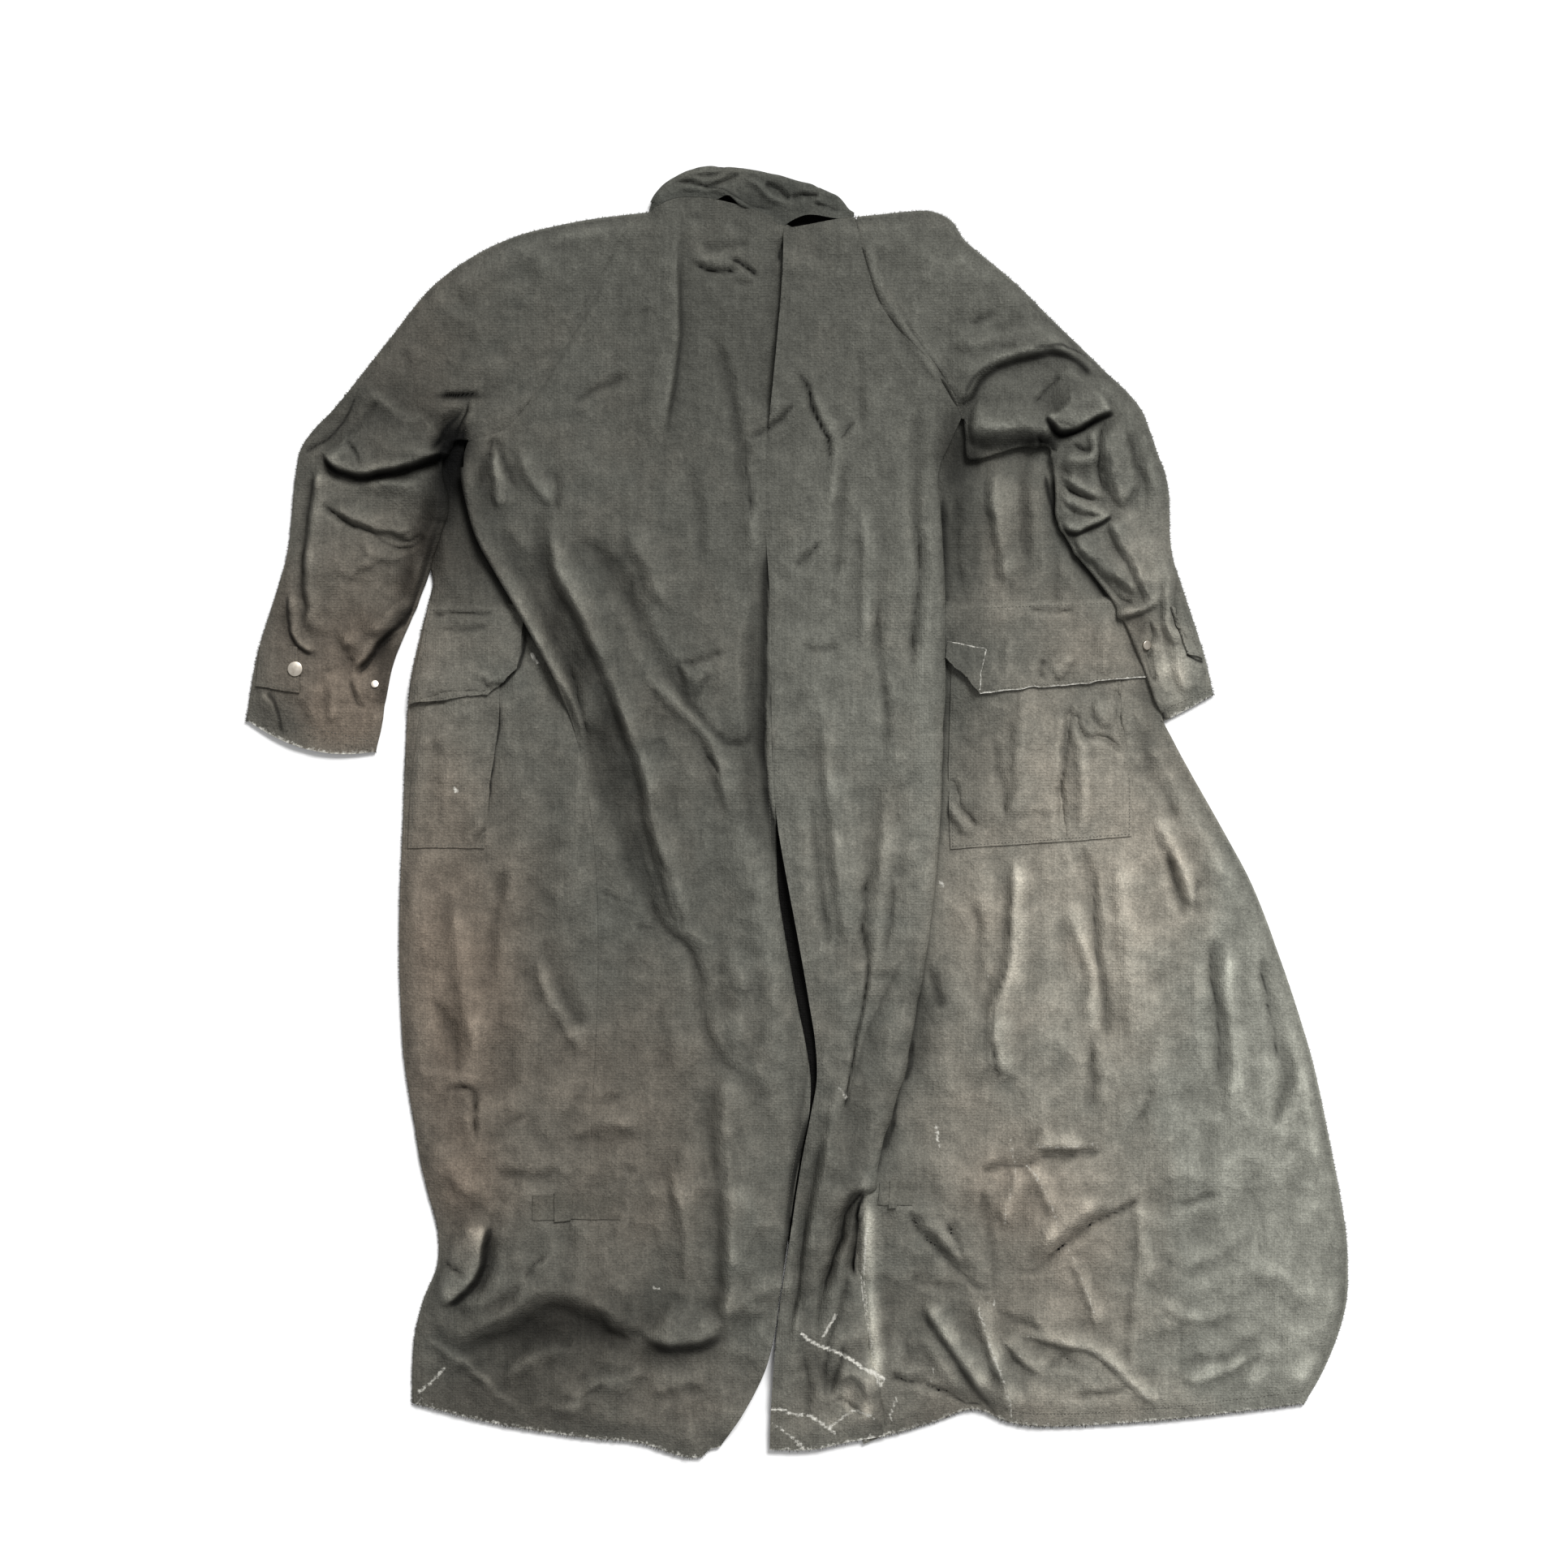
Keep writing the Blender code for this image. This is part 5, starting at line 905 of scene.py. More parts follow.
# middle x and y, width and height, how much lighter in doublings, and how much browner
TONE_AND_SHADE_ROWS = (
    (389, -323, 255, 374, 1.02, 0.08), (517, -340, 76, 280, 0.42, -0.5), (355, -595, 204, 76, 0.38, 0.02),
    (338, -102, 128, 102, 0.12, 0.05), (262, 60, 102, 128, 0.5, 0.12), (58, 68, 76, 221, 0.5, -0.05),
    (49, 323, 68, 136, 0.15, -0.1), (-70, 493, 76, 136, -0.3, -0.1), (-410, 484, 76, 94, -0.2, 0.2),
    (-240, 570, 110, 76, 0, -0.05), (-469, 408, 68, 42, -0.55, 0), (-333, 510, 94, 94, -0.14, 0),
    (-448, 255, 51, 51, 0.05, 0.35), (-469, 170, 68, 51, 0, 0.7), (-474, 98, 39, 37, 0.3, 1.1),
    (-546, 110, 26, 42, -0.02, 0.15), (-546, 221, 26, 68, -0.05, 0.2), (-371, 325, 14, 29, -1.7, 0.1),
    (-388, 286, 8, 22, -0.45, 0.1), (-403, 248, 8, 22, -0.4, 0.1), (-416, 214, 8, 17, -0.35, 0.1),
    (143, -194, 11, 29, -0.9, 0), (313, 21, 34, 42, -0.12, 0), (-40, -221, 21, 119, -0.1, 0.05),
    (-231, 85, 42, 85, 0.1, 0.05), (-337, 289, 21, 51, 0.12, 0.03), (-444, 280, 51, 60, 0.08, 0.03),
    (53, -609, 6, 14, 0.9, 0.1), (73, -626, 5, 10, 0.8, 0.1), (36, -638, 8, 6, 0.8, 0.1),
    (87, -614, 8, 14, -0.6, 0), (41, -591, 8, 12, -0.4, 0), (10, -605, 8, 20, -0.3, 0),
    (80, -255, 12, 34, -0.25, 0), (65, -308, 12, 34, -0.3, 0), (53, -357, 12, 34, -0.3, 0),
    (294, 353, 15, 14, -0.2, 0), (328, 361, 10, 29, -0.1, 0), (131, -248, 10, 20, -0.6, 0),
    (-386, 282, 12, 29, -1.6, 0.2), (-405, 240, 10, 24, -1.4, 0.25), (-445, 201, 19, 13, -0.5, 0.1),
    (-427, 165, 12, 20, -1.5, 0.1), (-435, 128, 7, 15, -1.2, 0.1), (-537, 211, 9, 34, -0.2, 0.1),
    (-534, 99, 17, 20, -0.15, -0.1), (-384, 421, 22, 17, -0.5, 0), (-346, 272, 29, 76, -1.1, 0.05),
    (-358, 386, 11, 14, -4.5, 0), (-362, 362, 11, 24, -5, 0), (-379, 369, 22, 3, -1.5, 0),
    (-350, 434, 19, 3, -2.6, 0), (165, 374, 15, 39, -1.3, 0), (-359, 170, 51, 51, 0.6, 0.1),
    (-363, 60, 51, 68, 0.25, 0), (-367, 34, 42, 60, 0.25, 0.35), (-384, -119, 51, 102, 0.25, 0.72),
    (-371, -272, 47, 102, 0, 0.65), (-308, -153, 42, 102, 0.05, 0.5), (-342, -391, 42, 51, 0.05, 0.65),
    (-240, -280, 76, 76, 0.05, 0.3), (-155, -255, 76, 94, 0, 0.25), (-189, -170, 68, 68, 0, -0.1),
    (-155, -408, 94, 76, 0.08, 0.3), (-240, -539, 85, 32, -1.55, 0.15), (-272, -544, 17, 14, -0.5, 0),
    (-308, -612, 94, 34, -0.58, 0.22), (-129, -612, 68, 42, 0.05, 0.25), (-36, -102, 38, 187, 0.16, -0.05),
    (-44, -408, 34, 128, 0.15, -0.1), (-270, 259, 11, 26, -0.8, 0), (-248, 204, 14, 24, -1.1, 0),
    (-221, 157, 15, 27, -1.5, 0), (-201, 95, 16, 32, -1.4, 0), (-187, 38, 16, 29, -1.25, 0),
    (-168, -30, 14, 37, -1, 0), (-148, -89, 11, 31, -0.6, 0), (-221, 279, 13, 14, -0.4, 0),
    (-196, 257, 16, 17, -0.8, 0), (-173, 223, 11, 20, -0.6, 0), (-119, 134, 12, 22, -0.6, 0),
    (-65, 78, 24, 17, -0.5, 0), (-48, 30, 9, 51, -0.7, 0), (-45, 128, 8, 60, -0.6, 0),
    (134, 187, 12, 255, 0.3, -0.1), (32, -425, 31, 85, -0.18, 0), (60, -429, 7, 38, -1.4, 0),
    (46, -455, 10, 20, -0.8, 0), (125, -183, 8, 42, -0.5, 0), (117, -262, 8, 22, -0.5, 0),
    (98, -327, 7, 34, -0.6, 0), (7, -484, 7, 60, -0.5, 0), (24, -586, 14, 34, -0.5, 0), (-8, -510, 5, 102, 0.3, 0),
    (219, 385, 39, 10, -1.1, 0), (258, 387, 17, 6, -1.8, 0), (185, 369, 7, 6, -1.6, 0),
    (41, -620, 51, 51, 0.5, 0.1), (72, -416, 7, 19, 0.6, 0), (75, -476, 9, 34, 1, 0), (80, -531, 8, 22, 0.4, 0),
    (84, -575, 7, 19, 1.1, 0), (94, -544, 6, 42, -0.5, 0), (170, 289, 19, 94, -0.8, -0.05),
    (210, 306, 10, 76, 0.35, 0.05), (240, 319, 8, 64, -0.4, 0), (228, 298, 34, 68, 0.15, 0.05),
    (211, 217, 60, 17, 0.25, 0.1), (313, 178, 42, 34, 0.3, 0.25), (173, 153, 26, 34, -0.3, -0.05),
    (182, 60, 27, 72, -0.4, 0), (286, 51, 6, 51, -0.45, 0), (364, 81, 8, 42, -0.6, 0), (258, 60, 26, 76, 0.2, 0.15),
    (313, 17, 34, 51, 0.3, 0.1), (313, 340, 42, 51, 0.36, -0.1), (368, 264, 31, 60, 0.72, 0.1),
    (394, 149, 29, 34, 0.84, 0), (358, 165, 7, 22, -0.5, 0), (381, 219, 8, 34, 0.3, 0), (1, -350, 8, 41, -0.5, 0),
    (73, -449, 6, 19, 0.6, 0), (77, -561, 5, 31, 0.5, 0), (397, 236, 7, 22, -0.45, 0),
    (357, 196, 13, 20, -0.5, 0.05), (367, 126, 14, 20, -0.5, 0), (400, 139, 7, 20, 0.6, 0.1),
    (381, 148, 10, 9, 0.25, 0), (423, 143, 10, 19, -0.2, 0), (389, 157, 10, 22, 0.4, 0),
    (428, 144, 17, 34, 0.2, -0.1), (372, 408, 34, 51, 0.1, -0.1), (168, 570, 76, 60, 0.2, -0.1),
    (245, 442, 60, 34, -0.02, -0.5), (268, 428, 11, 17, -0.4, 0), (185, -110, 34, 68, 0.36, 0.2),
    (245, -170, 51, 136, 0.4, 0.1), (330, -128, 51, 110, 0.4, 0.1), (389, -42, 51, 85, 0.3, 0.2),
    (457, -170, 51, 128, 0.14, 0), (168, -298, 34, 51, 0.3, 0.2), (228, -400, 60, 51, 0.1, 0.4),
    (296, -425, 51, 51, 0.1, 0.22), (168, -502, 51, 68, -0.1, 0.05), (279, -527, 68, 60, 0, 0.2),
    (508, -408, 51, 110, 0.15, -0.6), (525, -561, 34, 60, 0.25, -0.25), (296, -629, 119, 21, 0.35, 0.15),
    (143, -620, 51, 34, -0.1, 0.1), (-87, 667, 42, 12, 0.4, 0.15), (-27, 642, 51, 17, -0.3, -0.05),
)
TONES_AND_SHADES = [ToneAndShade(*row) for row in TONE_AND_SHADE_ROWS]
# a scratch is fully pale along its core, a patch fades out from its middle, and all the cloth is a little brown
SCUFF_STEPS = 4
SCUFF_CORE = 1.35
TONE_FALL = 0.7
BROWN = 0.05


def scuffed(xy):
    """How near each point is to a pale scratch: 1 on it, 0 a line's width away."""
    pale = np.zeros(len(xy))
    for scuff in SCUFFS:
        line = refine(scuff.line, SCUFF_STEPS)
        near = np.minimum(1.0, SCUFF_CORE * (1.0 - away(xy, line, scuff.width) / scuff.width))
        pale = np.maximum(pale, scuff.strength * near)
    return pale


def toned_and_shaded(xy):
    """Lightness and brownness at each point from the broad patches: the cloth's own tone, painted shade and painted
    light.
    """
    light, brown = np.zeros(len(xy)), np.full(len(xy), BROWN)
    for tone in TONES_AND_SHADES:
        far = ((xy[:, 0] - tone.x) / tone.wide) ** 2 + ((xy[:, 1] - tone.y) / tone.high) ** 2
        share = np.exp(-TONE_FALL * far)
        light += tone.light * share
        brown += tone.brown * share
    return light, brown


print("Scratches:", len(SCUFFS), "patches:", len(TONES_AND_SHADES))

# %% [markdown]
# A panel is put together from stretches of grid: the cloth that shows, the bend where it turns under, and the
# layer on the floor. Then it is made into a thin closed wall, with its wear, tone and painted shade stored at
# every point.

# %% Sheets of cloth
# what the material reads at each point: painted crease shade, height over the blurred surface (ridges paler as worn
# wax, hollows darker as painted shade), the inner face painted near-black as shade, pale scratches, and lightness and
# brownness from patches of tone, painted shade and painted light
LOOKS = ("grime", "ridge", "inside", "scuff", "light", "brown")
BEND_STEPS = 6
BEND_RIDGE = 0.3
BLUR_STEPS = 4
SHARP = math.radians(80)


def blurred(z, steps):
    """A grid of heights, smoothed over so many neighbours on each side."""
    for axis in (0, 1):
        wide = np.pad(z, [(steps + 1, steps) if k == axis else (0, 0) for k in (0, 1)], mode="edge")
        run = np.cumsum(wide, axis=axis)
        count = z.shape[axis]
        ahead = np.take(run, np.arange(count) + 2 * steps + 1, axis=axis)
        z = (ahead - np.take(run, np.arange(count), axis=axis)) / (2 * steps + 1)
    return z


class Cloth:
    """A sheet of cloth put together from stretches, and then made into a wall."""

    def __init__(self):
        self.points = np.zeros((0, 3))
        self.normals = np.zeros((0, 3))
        self.marks = np.zeros((0, 4))
        self.quads = []
        self.plates = []

    def add(self, points, normals, grime=0.0, ridge=0.0, inside=0.0, worn=0.0):
        """Takes points with their wear and painted shade into the sheet, and gives their numbers."""
        first, shape = len(self.points), points.shape[:-1]
        self.points = np.vstack([self.points, points.reshape(-1, 3)])
        self.normals = np.vstack([self.normals, normals.reshape(-1, 3)])
        marks = [np.broadcast_to(mark, shape).ravel() for mark in (grime, ridge, inside, worn)]
        self.marks = np.vstack([self.marks, np.stack(marks, axis=1)])
        return first + np.arange(points[..., 0].size).reshape(shape)

    def sew(self, index):
        """Fills a grid of numbered points with faces."""
        quads = (index[:-1, :-1], index[:-1, 1:], index[1:, 1:], index[1:, :-1])
        self.quads.append(np.stack([corner.ravel() for corner in quads], axis=1))

    def lay(self, grid, layer, worn=0.0):
        """The cloth that shows, on a grid of places."""
        points, _, grime = surface(grid, layer)
        even_out = points.copy()
        even_out[..., 2] = blurred(points[..., 2], 1)
        normals = facing(even_out)
        # height over the blurred surface: ridges come out paler as worn wax, hollows darker as painted shade
        ridge = points[..., 2] - blurred(blurred(points[..., 2], BLUR_STEPS), BLUR_STEPS)
        index = self.add(points, normals, grime, ridge, 0.0, worn)
        self.sew(index)
        return index

    def bend(self, edge, outward, bottom, lip=None):
        """Turns the cloth under along an edge, down to a height, with a lip that runs back below it."""
        points = self.points[edge]
        flat = np.concatenate([outward, np.zeros((len(edge), 1))], axis=1)
        up = np.array([0.0, 0.0, 1.0])
        radius = ((points[:, 2] - bottom) / 2)[:, None]
        columns, normals = [], []
        for angle in np.linspace(math.pi / 2, -math.pi / 2, BEND_STEPS + 1)[1:]:
            direction = flat * math.cos(angle) + up * math.sin(angle)
            columns.append(points - radius * up + radius * direction)
            normals.append(direction)
        if lip is not None:
            columns.append(columns[-1] - np.reshape(lip, (-1, 1)) * flat)
            normals.append(normals[-1])
        index = self.add(np.stack(columns, axis=1), np.stack(normals, axis=1), ridge=BEND_RIDGE)
        self.sew(np.concatenate([np.array(edge)[:, None], index], axis=1))
        return index[:, -1]

    def rest(self, outline):
        """Points of an outline of the layer on the floor."""
        xy = np.array(outline, dtype=float)
        points = np.concatenate([xy, np.full((len(xy), 1), FLOOR_LAYER)], axis=1)
        return self.add(points, np.tile([0.0, 0.0, -1.0], (len(xy), 1)))

    def plate(self, *stretches):
        """Closes the layer on the floor between the given stretches of its edge."""
        self.plates.append(np.concatenate(stretches))

    def wall(self, name, thickness=CLOTH):
        """Makes the closed wall, half its thickness to each side of the sheet."""
        count = len(self.points)
        half = thickness / 2 * self.normals
        points = np.vstack([self.points + half, self.points - half])
        quads = np.vstack(self.quads)
        sheets = [quads[:, k] for k in range(4)]
        edges = [np.stack([sheets[k], sheets[(k + 1) % 4]], axis=1) for k in range(4)]
        edges += [np.stack([plate, np.roll(plate, -1)], axis=1) for plate in self.plates]
        edges = np.vstack(edges)
        _, first, uses = np.unique(np.sort(edges, axis=1), axis=0, return_index=True, return_counts=True)
        rim = edges[first[uses == 1]]
        rim = np.stack([rim[:, 1], rim[:, 0], rim[:, 0] + count, rim[:, 1] + count], axis=1)
        faces = np.vstack([quads, quads[:, ::-1] + count, rim]).tolist()
        for plate in self.plates:
            faces += [plate.tolist(), (plate[::-1] + count).tolist()]
        piece = make_object(name, points, faces)
        marks = np.vstack([self.marks, self.marks])
        # the inner face, which on the floor layer is its upper face, is painted near-black as shade; cut rims keep
        # the outer colour
        marks[count:, 2] = 1.0
        cut = np.setdiff1d(rim[:, 2:] - count, np.concatenate([*self.plates, []]))
        marks[cut.astype(int) + count, 2] = 0.0
        light, brown = toned_and_shaded(points[:, :2])
        pale = np.maximum(scuffed(points[:, :2]), marks[:, 3])
        for look, values in zip(LOOKS, (marks[:, 0], marks[:, 1], marks[:, 2], pale, light, brown)):
            stored = piece.data.attributes.new(look, "FLOAT", "POINT")
            stored.data.foreach_set("value", values.astype(np.float32))
        return piece


def make_object(name, points, faces):
    """A named smooth mesh object, from points in millimetres."""
    mesh = bpy.data.meshes.new(name)
    mesh.from_pydata((points * MM).tolist(), [], faces)
    shape = bmesh.new()
    shape.from_mesh(mesh)
    wide = [face for face in shape.faces if len(face.verts) > 4]
    bmesh.ops.triangulate(shape, faces=wide)
    bmesh.ops.recalc_face_normals(shape, faces=shape.faces)
    shape.to_mesh(mesh)
    shape.free()
    mesh.shade_smooth()
    mesh.set_sharp_from_angle(angle=SHARP)
    piece = bpy.data.objects.new(name, mesh)
    bpy.context.scene.collection.objects.link(piece)
    return piece


print("Each point of the cloth carries:", ", ".join(LOOKS))

# %% [markdown]
# A panel's grid is spread between its two sides. Its first row can follow a line of its own, such as the neck,
# and its last row is moved on to the hem.

# %% Grids
NECK_FADE = 3
RAGLAN_FADE = 40
HEM_SHARE = 0.4
HEM_WEAR = 10.0
HEM_PALE = 0.78


def patch(side_a, side_b, columns, top=None, fade=NECK_FADE, bow=0.0):
    """Places spread over a four-sided panel, by rows from side a to side b."""
    u = np.linspace(0.0, 1.0, columns)[None, :, None]
    v = np.linspace(0.0, 1.0, len(side_a))[:, None, None]
    grid = side_a[:, None, :] * (1.0 - u) + side_b[:, None, :] * u
    if top is not None:
        grid = grid + (1.0 - v) ** fade * (top - grid[0])
    reach = grid[-1] - grid[-2]
    reach = reach / np.linalg.norm(reach, axis=1, keepdims=True)
    return grid + bow * 4.0 * (u * (1.0 - u)) * v**3 * reach


def to_hem(grid):
    """The panel with its last rows moved on to the hem line."""
    rows = len(grid)
    share = smooth(1.0 + (np.arange(rows) / (rows - 1) - 1.0) / HEM_SHARE)[:, None]
    moved = grid.copy()
    moved[..., 1] += share * (hem_y(grid[-1, :, 0]) - grid[-1, :, 1])
    return moved


def hem_wear(grid):
    """How pale the cloth is near the panel's last row."""
    far = np.linalg.norm(grid - grid[-1], axis=-1)
    return HEM_PALE * np.clip(1.0 - far / HEM_WEAR, 0.0, 1.0)


print("Rows of the back:", len(seam_line(LEFT_RAGLAN, LEFT_SIDE)))

# %% [markdown]
# The back is two panels. The left one runs on a little below the right one at the centre, so that the right
# back's edge laps over it down to the vent. Its outer edge laps over the left front in the same way.

# %% Back
BACK_LEFT_COLUMNS = 96
BACK_RIGHT_COLUMNS = 62
# how far the left back runs on below the right one, and the ramp from the vent's top up over which that grows
CENTRE_LAP = 12.0
CENTRE_LAP_RISE = (5.0, 40.0)
RAGLAN_LAP = 4.0
PLEAT_LAP = 5.0
PLEAT_ROWS = 28
# where the raglan seams end, in rows from the neck
RAGLAN_END = ROW_PARTS * (YOKE_ROWS - 1) + 4
LAP_ROWS = 8.0
# how far the left back's side edge turns down and at least has to, how near to the floor it may come, the lip
# below it, and the ramp of y over which it grows
SIDE_DROP = 7.0
SIDE_LEAST = 0.6
SIDE_LOWEST = 6.0
SIDE_LIP = 4.0
SIDE_BEND = (20.0, 90.0)
# how far the pleat's edge turns down at its upper end, and the lip there
PLEAT_START = 0.4
PLEAT_LIP = 1.0
BEND_RADIUS = (FOLD_HEIGHT - FLOOR_LAYER) / 2
BEND_INSET = BEND_RADIUS + CLOTH / 2
HALF_GAP = SEAM_GAP / 2


def lapped_out(line, side):
    """The back's outer line: it runs a little below the sleeve at the raglan seam."""
    rows_left = RAGLAN_END - np.arange(len(line))
    lap = (RAGLAN_LAP + HALF_GAP) * smooth(rows_left / LAP_ROWS) - HALF_GAP
    return line + side * lap[:, None] * left_of(line)


def make_back_left():
    outer = lapped_out(seam_line(LEFT_RAGLAN, LEFT_SIDE), -1)
    inner = shifted(CENTRE_LINE, -HALF_GAP)
    inner[:, 0] += CENTRE_LAP * ramp(inner[:, 1] - VENT_TOP_Y, *CENTRE_LAP_RISE)
    neck = curve(shifted(COLLAR_LEFT[:, :2], -HALF_GAP), BACK_LEFT_COLUMNS)
    neck[:, 0] += CENTRE_LAP * np.linspace(0.0, 1.0, BACK_LEFT_COLUMNS) ** 3
    cloth = Cloth()
    grid = to_hem(patch(outer, inner, BACK_LEFT_COLUMNS, neck))
    top = cloth.lay(grid, "BL", hem_wear(grid))
    first = ROW_PARTS * YOKE_ROWS
    edge = top[first:, 0]
    side = -left_of(outer)[first:]
    z = cloth.points[edge, 2]
    drop = np.minimum(SIDE_DROP, z - SIDE_LOWEST) * ramp(outer[first:, 1], *SIDE_BEND)
    lapped = drop > SIDE_LEAST
    cloth.bend(edge[lapped], side[lapped], (z - drop)[lapped], SIDE_LIP)
    return cloth.wall("cloth_back_left")


def make_back_right():
    outer = lapped_out(seam_line(RIGHT_RAGLAN, shifted(PLEAT_EDGE, -BEND_INSET)), 1)
    inner = shifted(seam_line(CENTRE_YOKE, body_line("centre_right")), HALF_GAP)
    neck = curve(shifted(COLLAR_RIGHT[:, :2], -HALF_GAP)[::-1], BACK_RIGHT_COLUMNS)
    cloth = Cloth()
    grid = to_hem(patch(outer, inner, BACK_RIGHT_COLUMNS, neck))
    top = cloth.lay(grid, "BR", hem_wear(grid))
    edge = top[RAGLAN_END:, 0]
    grown = smooth(np.arange(len(edge)) / PLEAT_ROWS)
    bottom = LIP_HEIGHT + (1.0 - grown) * (cloth.points[edge, 2] - PLEAT_START - LIP_HEIGHT)
    lip = PLEAT_LIP + grown * (PLEAT_TUCK + PLEAT_LAP - BEND_INSET)
    cloth.bend(edge, left_of(outer)[RAGLAN_END:], bottom, lip)
    return cloth.wall("cloth_back_right")


back_left = make_back_left()
back_right = make_back_right()
print("Back:", len(back_left.data.polygons) + len(back_right.data.polygons), "faces")

# %% [markdown]
# Each front shows beside the back, turns under at the coat's outline and lies on the floor below the back. The
# left front runs on below the left back's edge, and the right front below the pleat of the right back.

# %% Fronts
FRONT_LEFT_COLUMNS = 66
FRONT_RIGHT_COLUMNS = 128
# how far the left front runs on below the left back above and on the skirt, and the ramp of y between them
SIDE_LAP = 14.0
SKIRT_LAP = 5.0
SIDE_LAP_RISE = (40.0, 60.0)


def make_front_left():
    seam = LEFT_SIDE.copy()
    seam[:, 0] += SKIRT_LAP + (SIDE_LAP - SKIRT_LAP) * ramp(seam[:, 1], *SIDE_LAP_RISE)
    inside = left_of(LEFT_FOLD)
    cloth = Cloth()
    top_row = curve(TOP_FRONT_LEFT, FRONT_LEFT_COLUMNS)
    grid = to_hem(patch(seam, LEFT_FOLD + BEND_INSET * inside, FRONT_LEFT_COLUMNS, top_row, RAGLAN_FADE))
    top = cloth.lay(grid, "FL", hem_wear(grid))
    edge = cloth.bend(top[:, -1], -inside, FLOOR_LAYER)
    raglan = shifted(LEFT_RAGLAN, HALF_GAP)[1:]
    cloth.plate(edge, cloth.rest(INNER_HEM_LEFT + CENTRE_FRONT_LEFT + FRONT_NECK_LEFT), cloth.rest(raglan))
    return cloth.wall("cloth_front_left")


def make_front_right():
    inside = -left_of(RIGHT_FOLD)
    edge_line = RIGHT_FOLD + BEND_INSET * inside
    cloth = Cloth()
    top_row = curve(TOP_FRONT_RIGHT, FRONT_RIGHT_COLUMNS)
    grid = to_hem(patch(TUCKED_EDGE, edge_line, FRONT_RIGHT_COLUMNS, top_row))
    top = cloth.lay(grid, "FR", hem_wear(grid))
    edge = cloth.bend(top[:, -1], -inside, FLOOR_LAYER)
    inner = cloth.rest(INNER_HEM_RIGHT + CENTRE_FRONT_RIGHT + FRONT_NECK_RIGHT)
    raglan = cloth.rest(shifted(RIGHT_RAGLAN, -HALF_GAP)[1:-1])
    cloth.plate(edge, inner, raglan, cloth.rest(ARMHOLE_RIGHT))
    return cloth.wall("cloth_front_right")


front_left = make_front_left()
front_right = make_front_right()
print("Fronts:", len(front_left.data.polygons) + len(front_right.data.polygons), "faces")

# %% [markdown]
# A sleeve is one piece of cloth that turns under along both edges, with its seam below the underarm.

# %% Sleeves
SLEEVE_COLUMNS = 76
UNDERARM_LIP = 6.0
# how far a sleeve's corner at the neck is taken back, and every how many points its floor layer follows the seam
NECK_TRIM = 1.5
SEAM_EVERY = 8


def make_sleeve(name, layer, raglan, sections, side, bow):
    over, under = sections[:, :2], sections[:, 2:]
    over_inside = side * left_of(over)
    under_inside = -side * left_of(under)
    seam = curve(shifted(raglan, -side * HALF_GAP), SLEEVE_COLUMNS)
    top_row = seam.copy()
    run = seam[1] - seam[0]
    top_row[0] += NECK_TRIM * run / np.linalg.norm(run)
    over_edge = over + BEND_INSET * over_inside
    under_edge = under + BEND_INSET * under_inside
    over_edge[0], under_edge[0] = top_row[0], top_row[-1]
    cloth = Cloth()
    grid = patch(over_edge, under_edge, SLEEVE_COLUMNS, top_row, RAGLAN_FADE, bow)
    top = cloth.lay(grid, layer, hem_wear(grid))
    edge = cloth.bend(top[1:, 0], -over_inside[1:], FLOOR_LAYER)
    lift = UNDER_LIFT * ramp(under[1:, 1], *OVER_FRONT[layer])
    cloth.bend(top[1:, -1], -under_inside[1:], FLOOR_LAYER + lift, UNDERARM_LIP)
    inner = under + (BEND_INSET + UNDERARM_LIP + SEAM_GAP) * under_inside
    outline = np.vstack([inner[:ROW_PARTS:-ROW_PARTS], top_row[:0:-SEAM_EVERY]])
    cloth.plate(edge, cloth.rest(outline))
    return cloth.wall(name)


sleeve_left = make_sleeve("cloth_sleeve_left", "SL", LEFT_RAGLAN, LEFT_SLEEVE, 1, CUFF_BOW_LEFT)
sleeve_right = make_sleeve("cloth_sleeve_right", "SR", RIGHT_RAGLAN, RIGHT_SLEEVE, -1, CUFF_BOW_RIGHT)
print("Sleeves:", len(sleeve_left.data.polygons) + len(sleeve_right.data.polygons), "faces")

# %% [markdown]
# The stand collar lies crumpled, its back half on its front half. At two places its seam edge has drawn away
# from the back, and the layer below shows with its inner face painted near-black as shade.

# %% Collar
COLLAR_COLUMNS = 22
# middle, half width and depth of the places where the neck edge is drawn up
DRAWN = ((9.0, 38.0, 10.0), (-72.0, 14.0, 7.0))
# row, height left and reach of the collar's two narrowing ends
NARROWED = ((0, 0.55, 14.0), (-1, 0.25, 26.0))
COLLAR_PARTS = 6
# the back half ends so far above the front half, which shows so much less than in the table, but at least so far
COLLAR_CLEAR = 1.4
FRONT_LESS = 1.5
FRONT_LEAST = 0.6


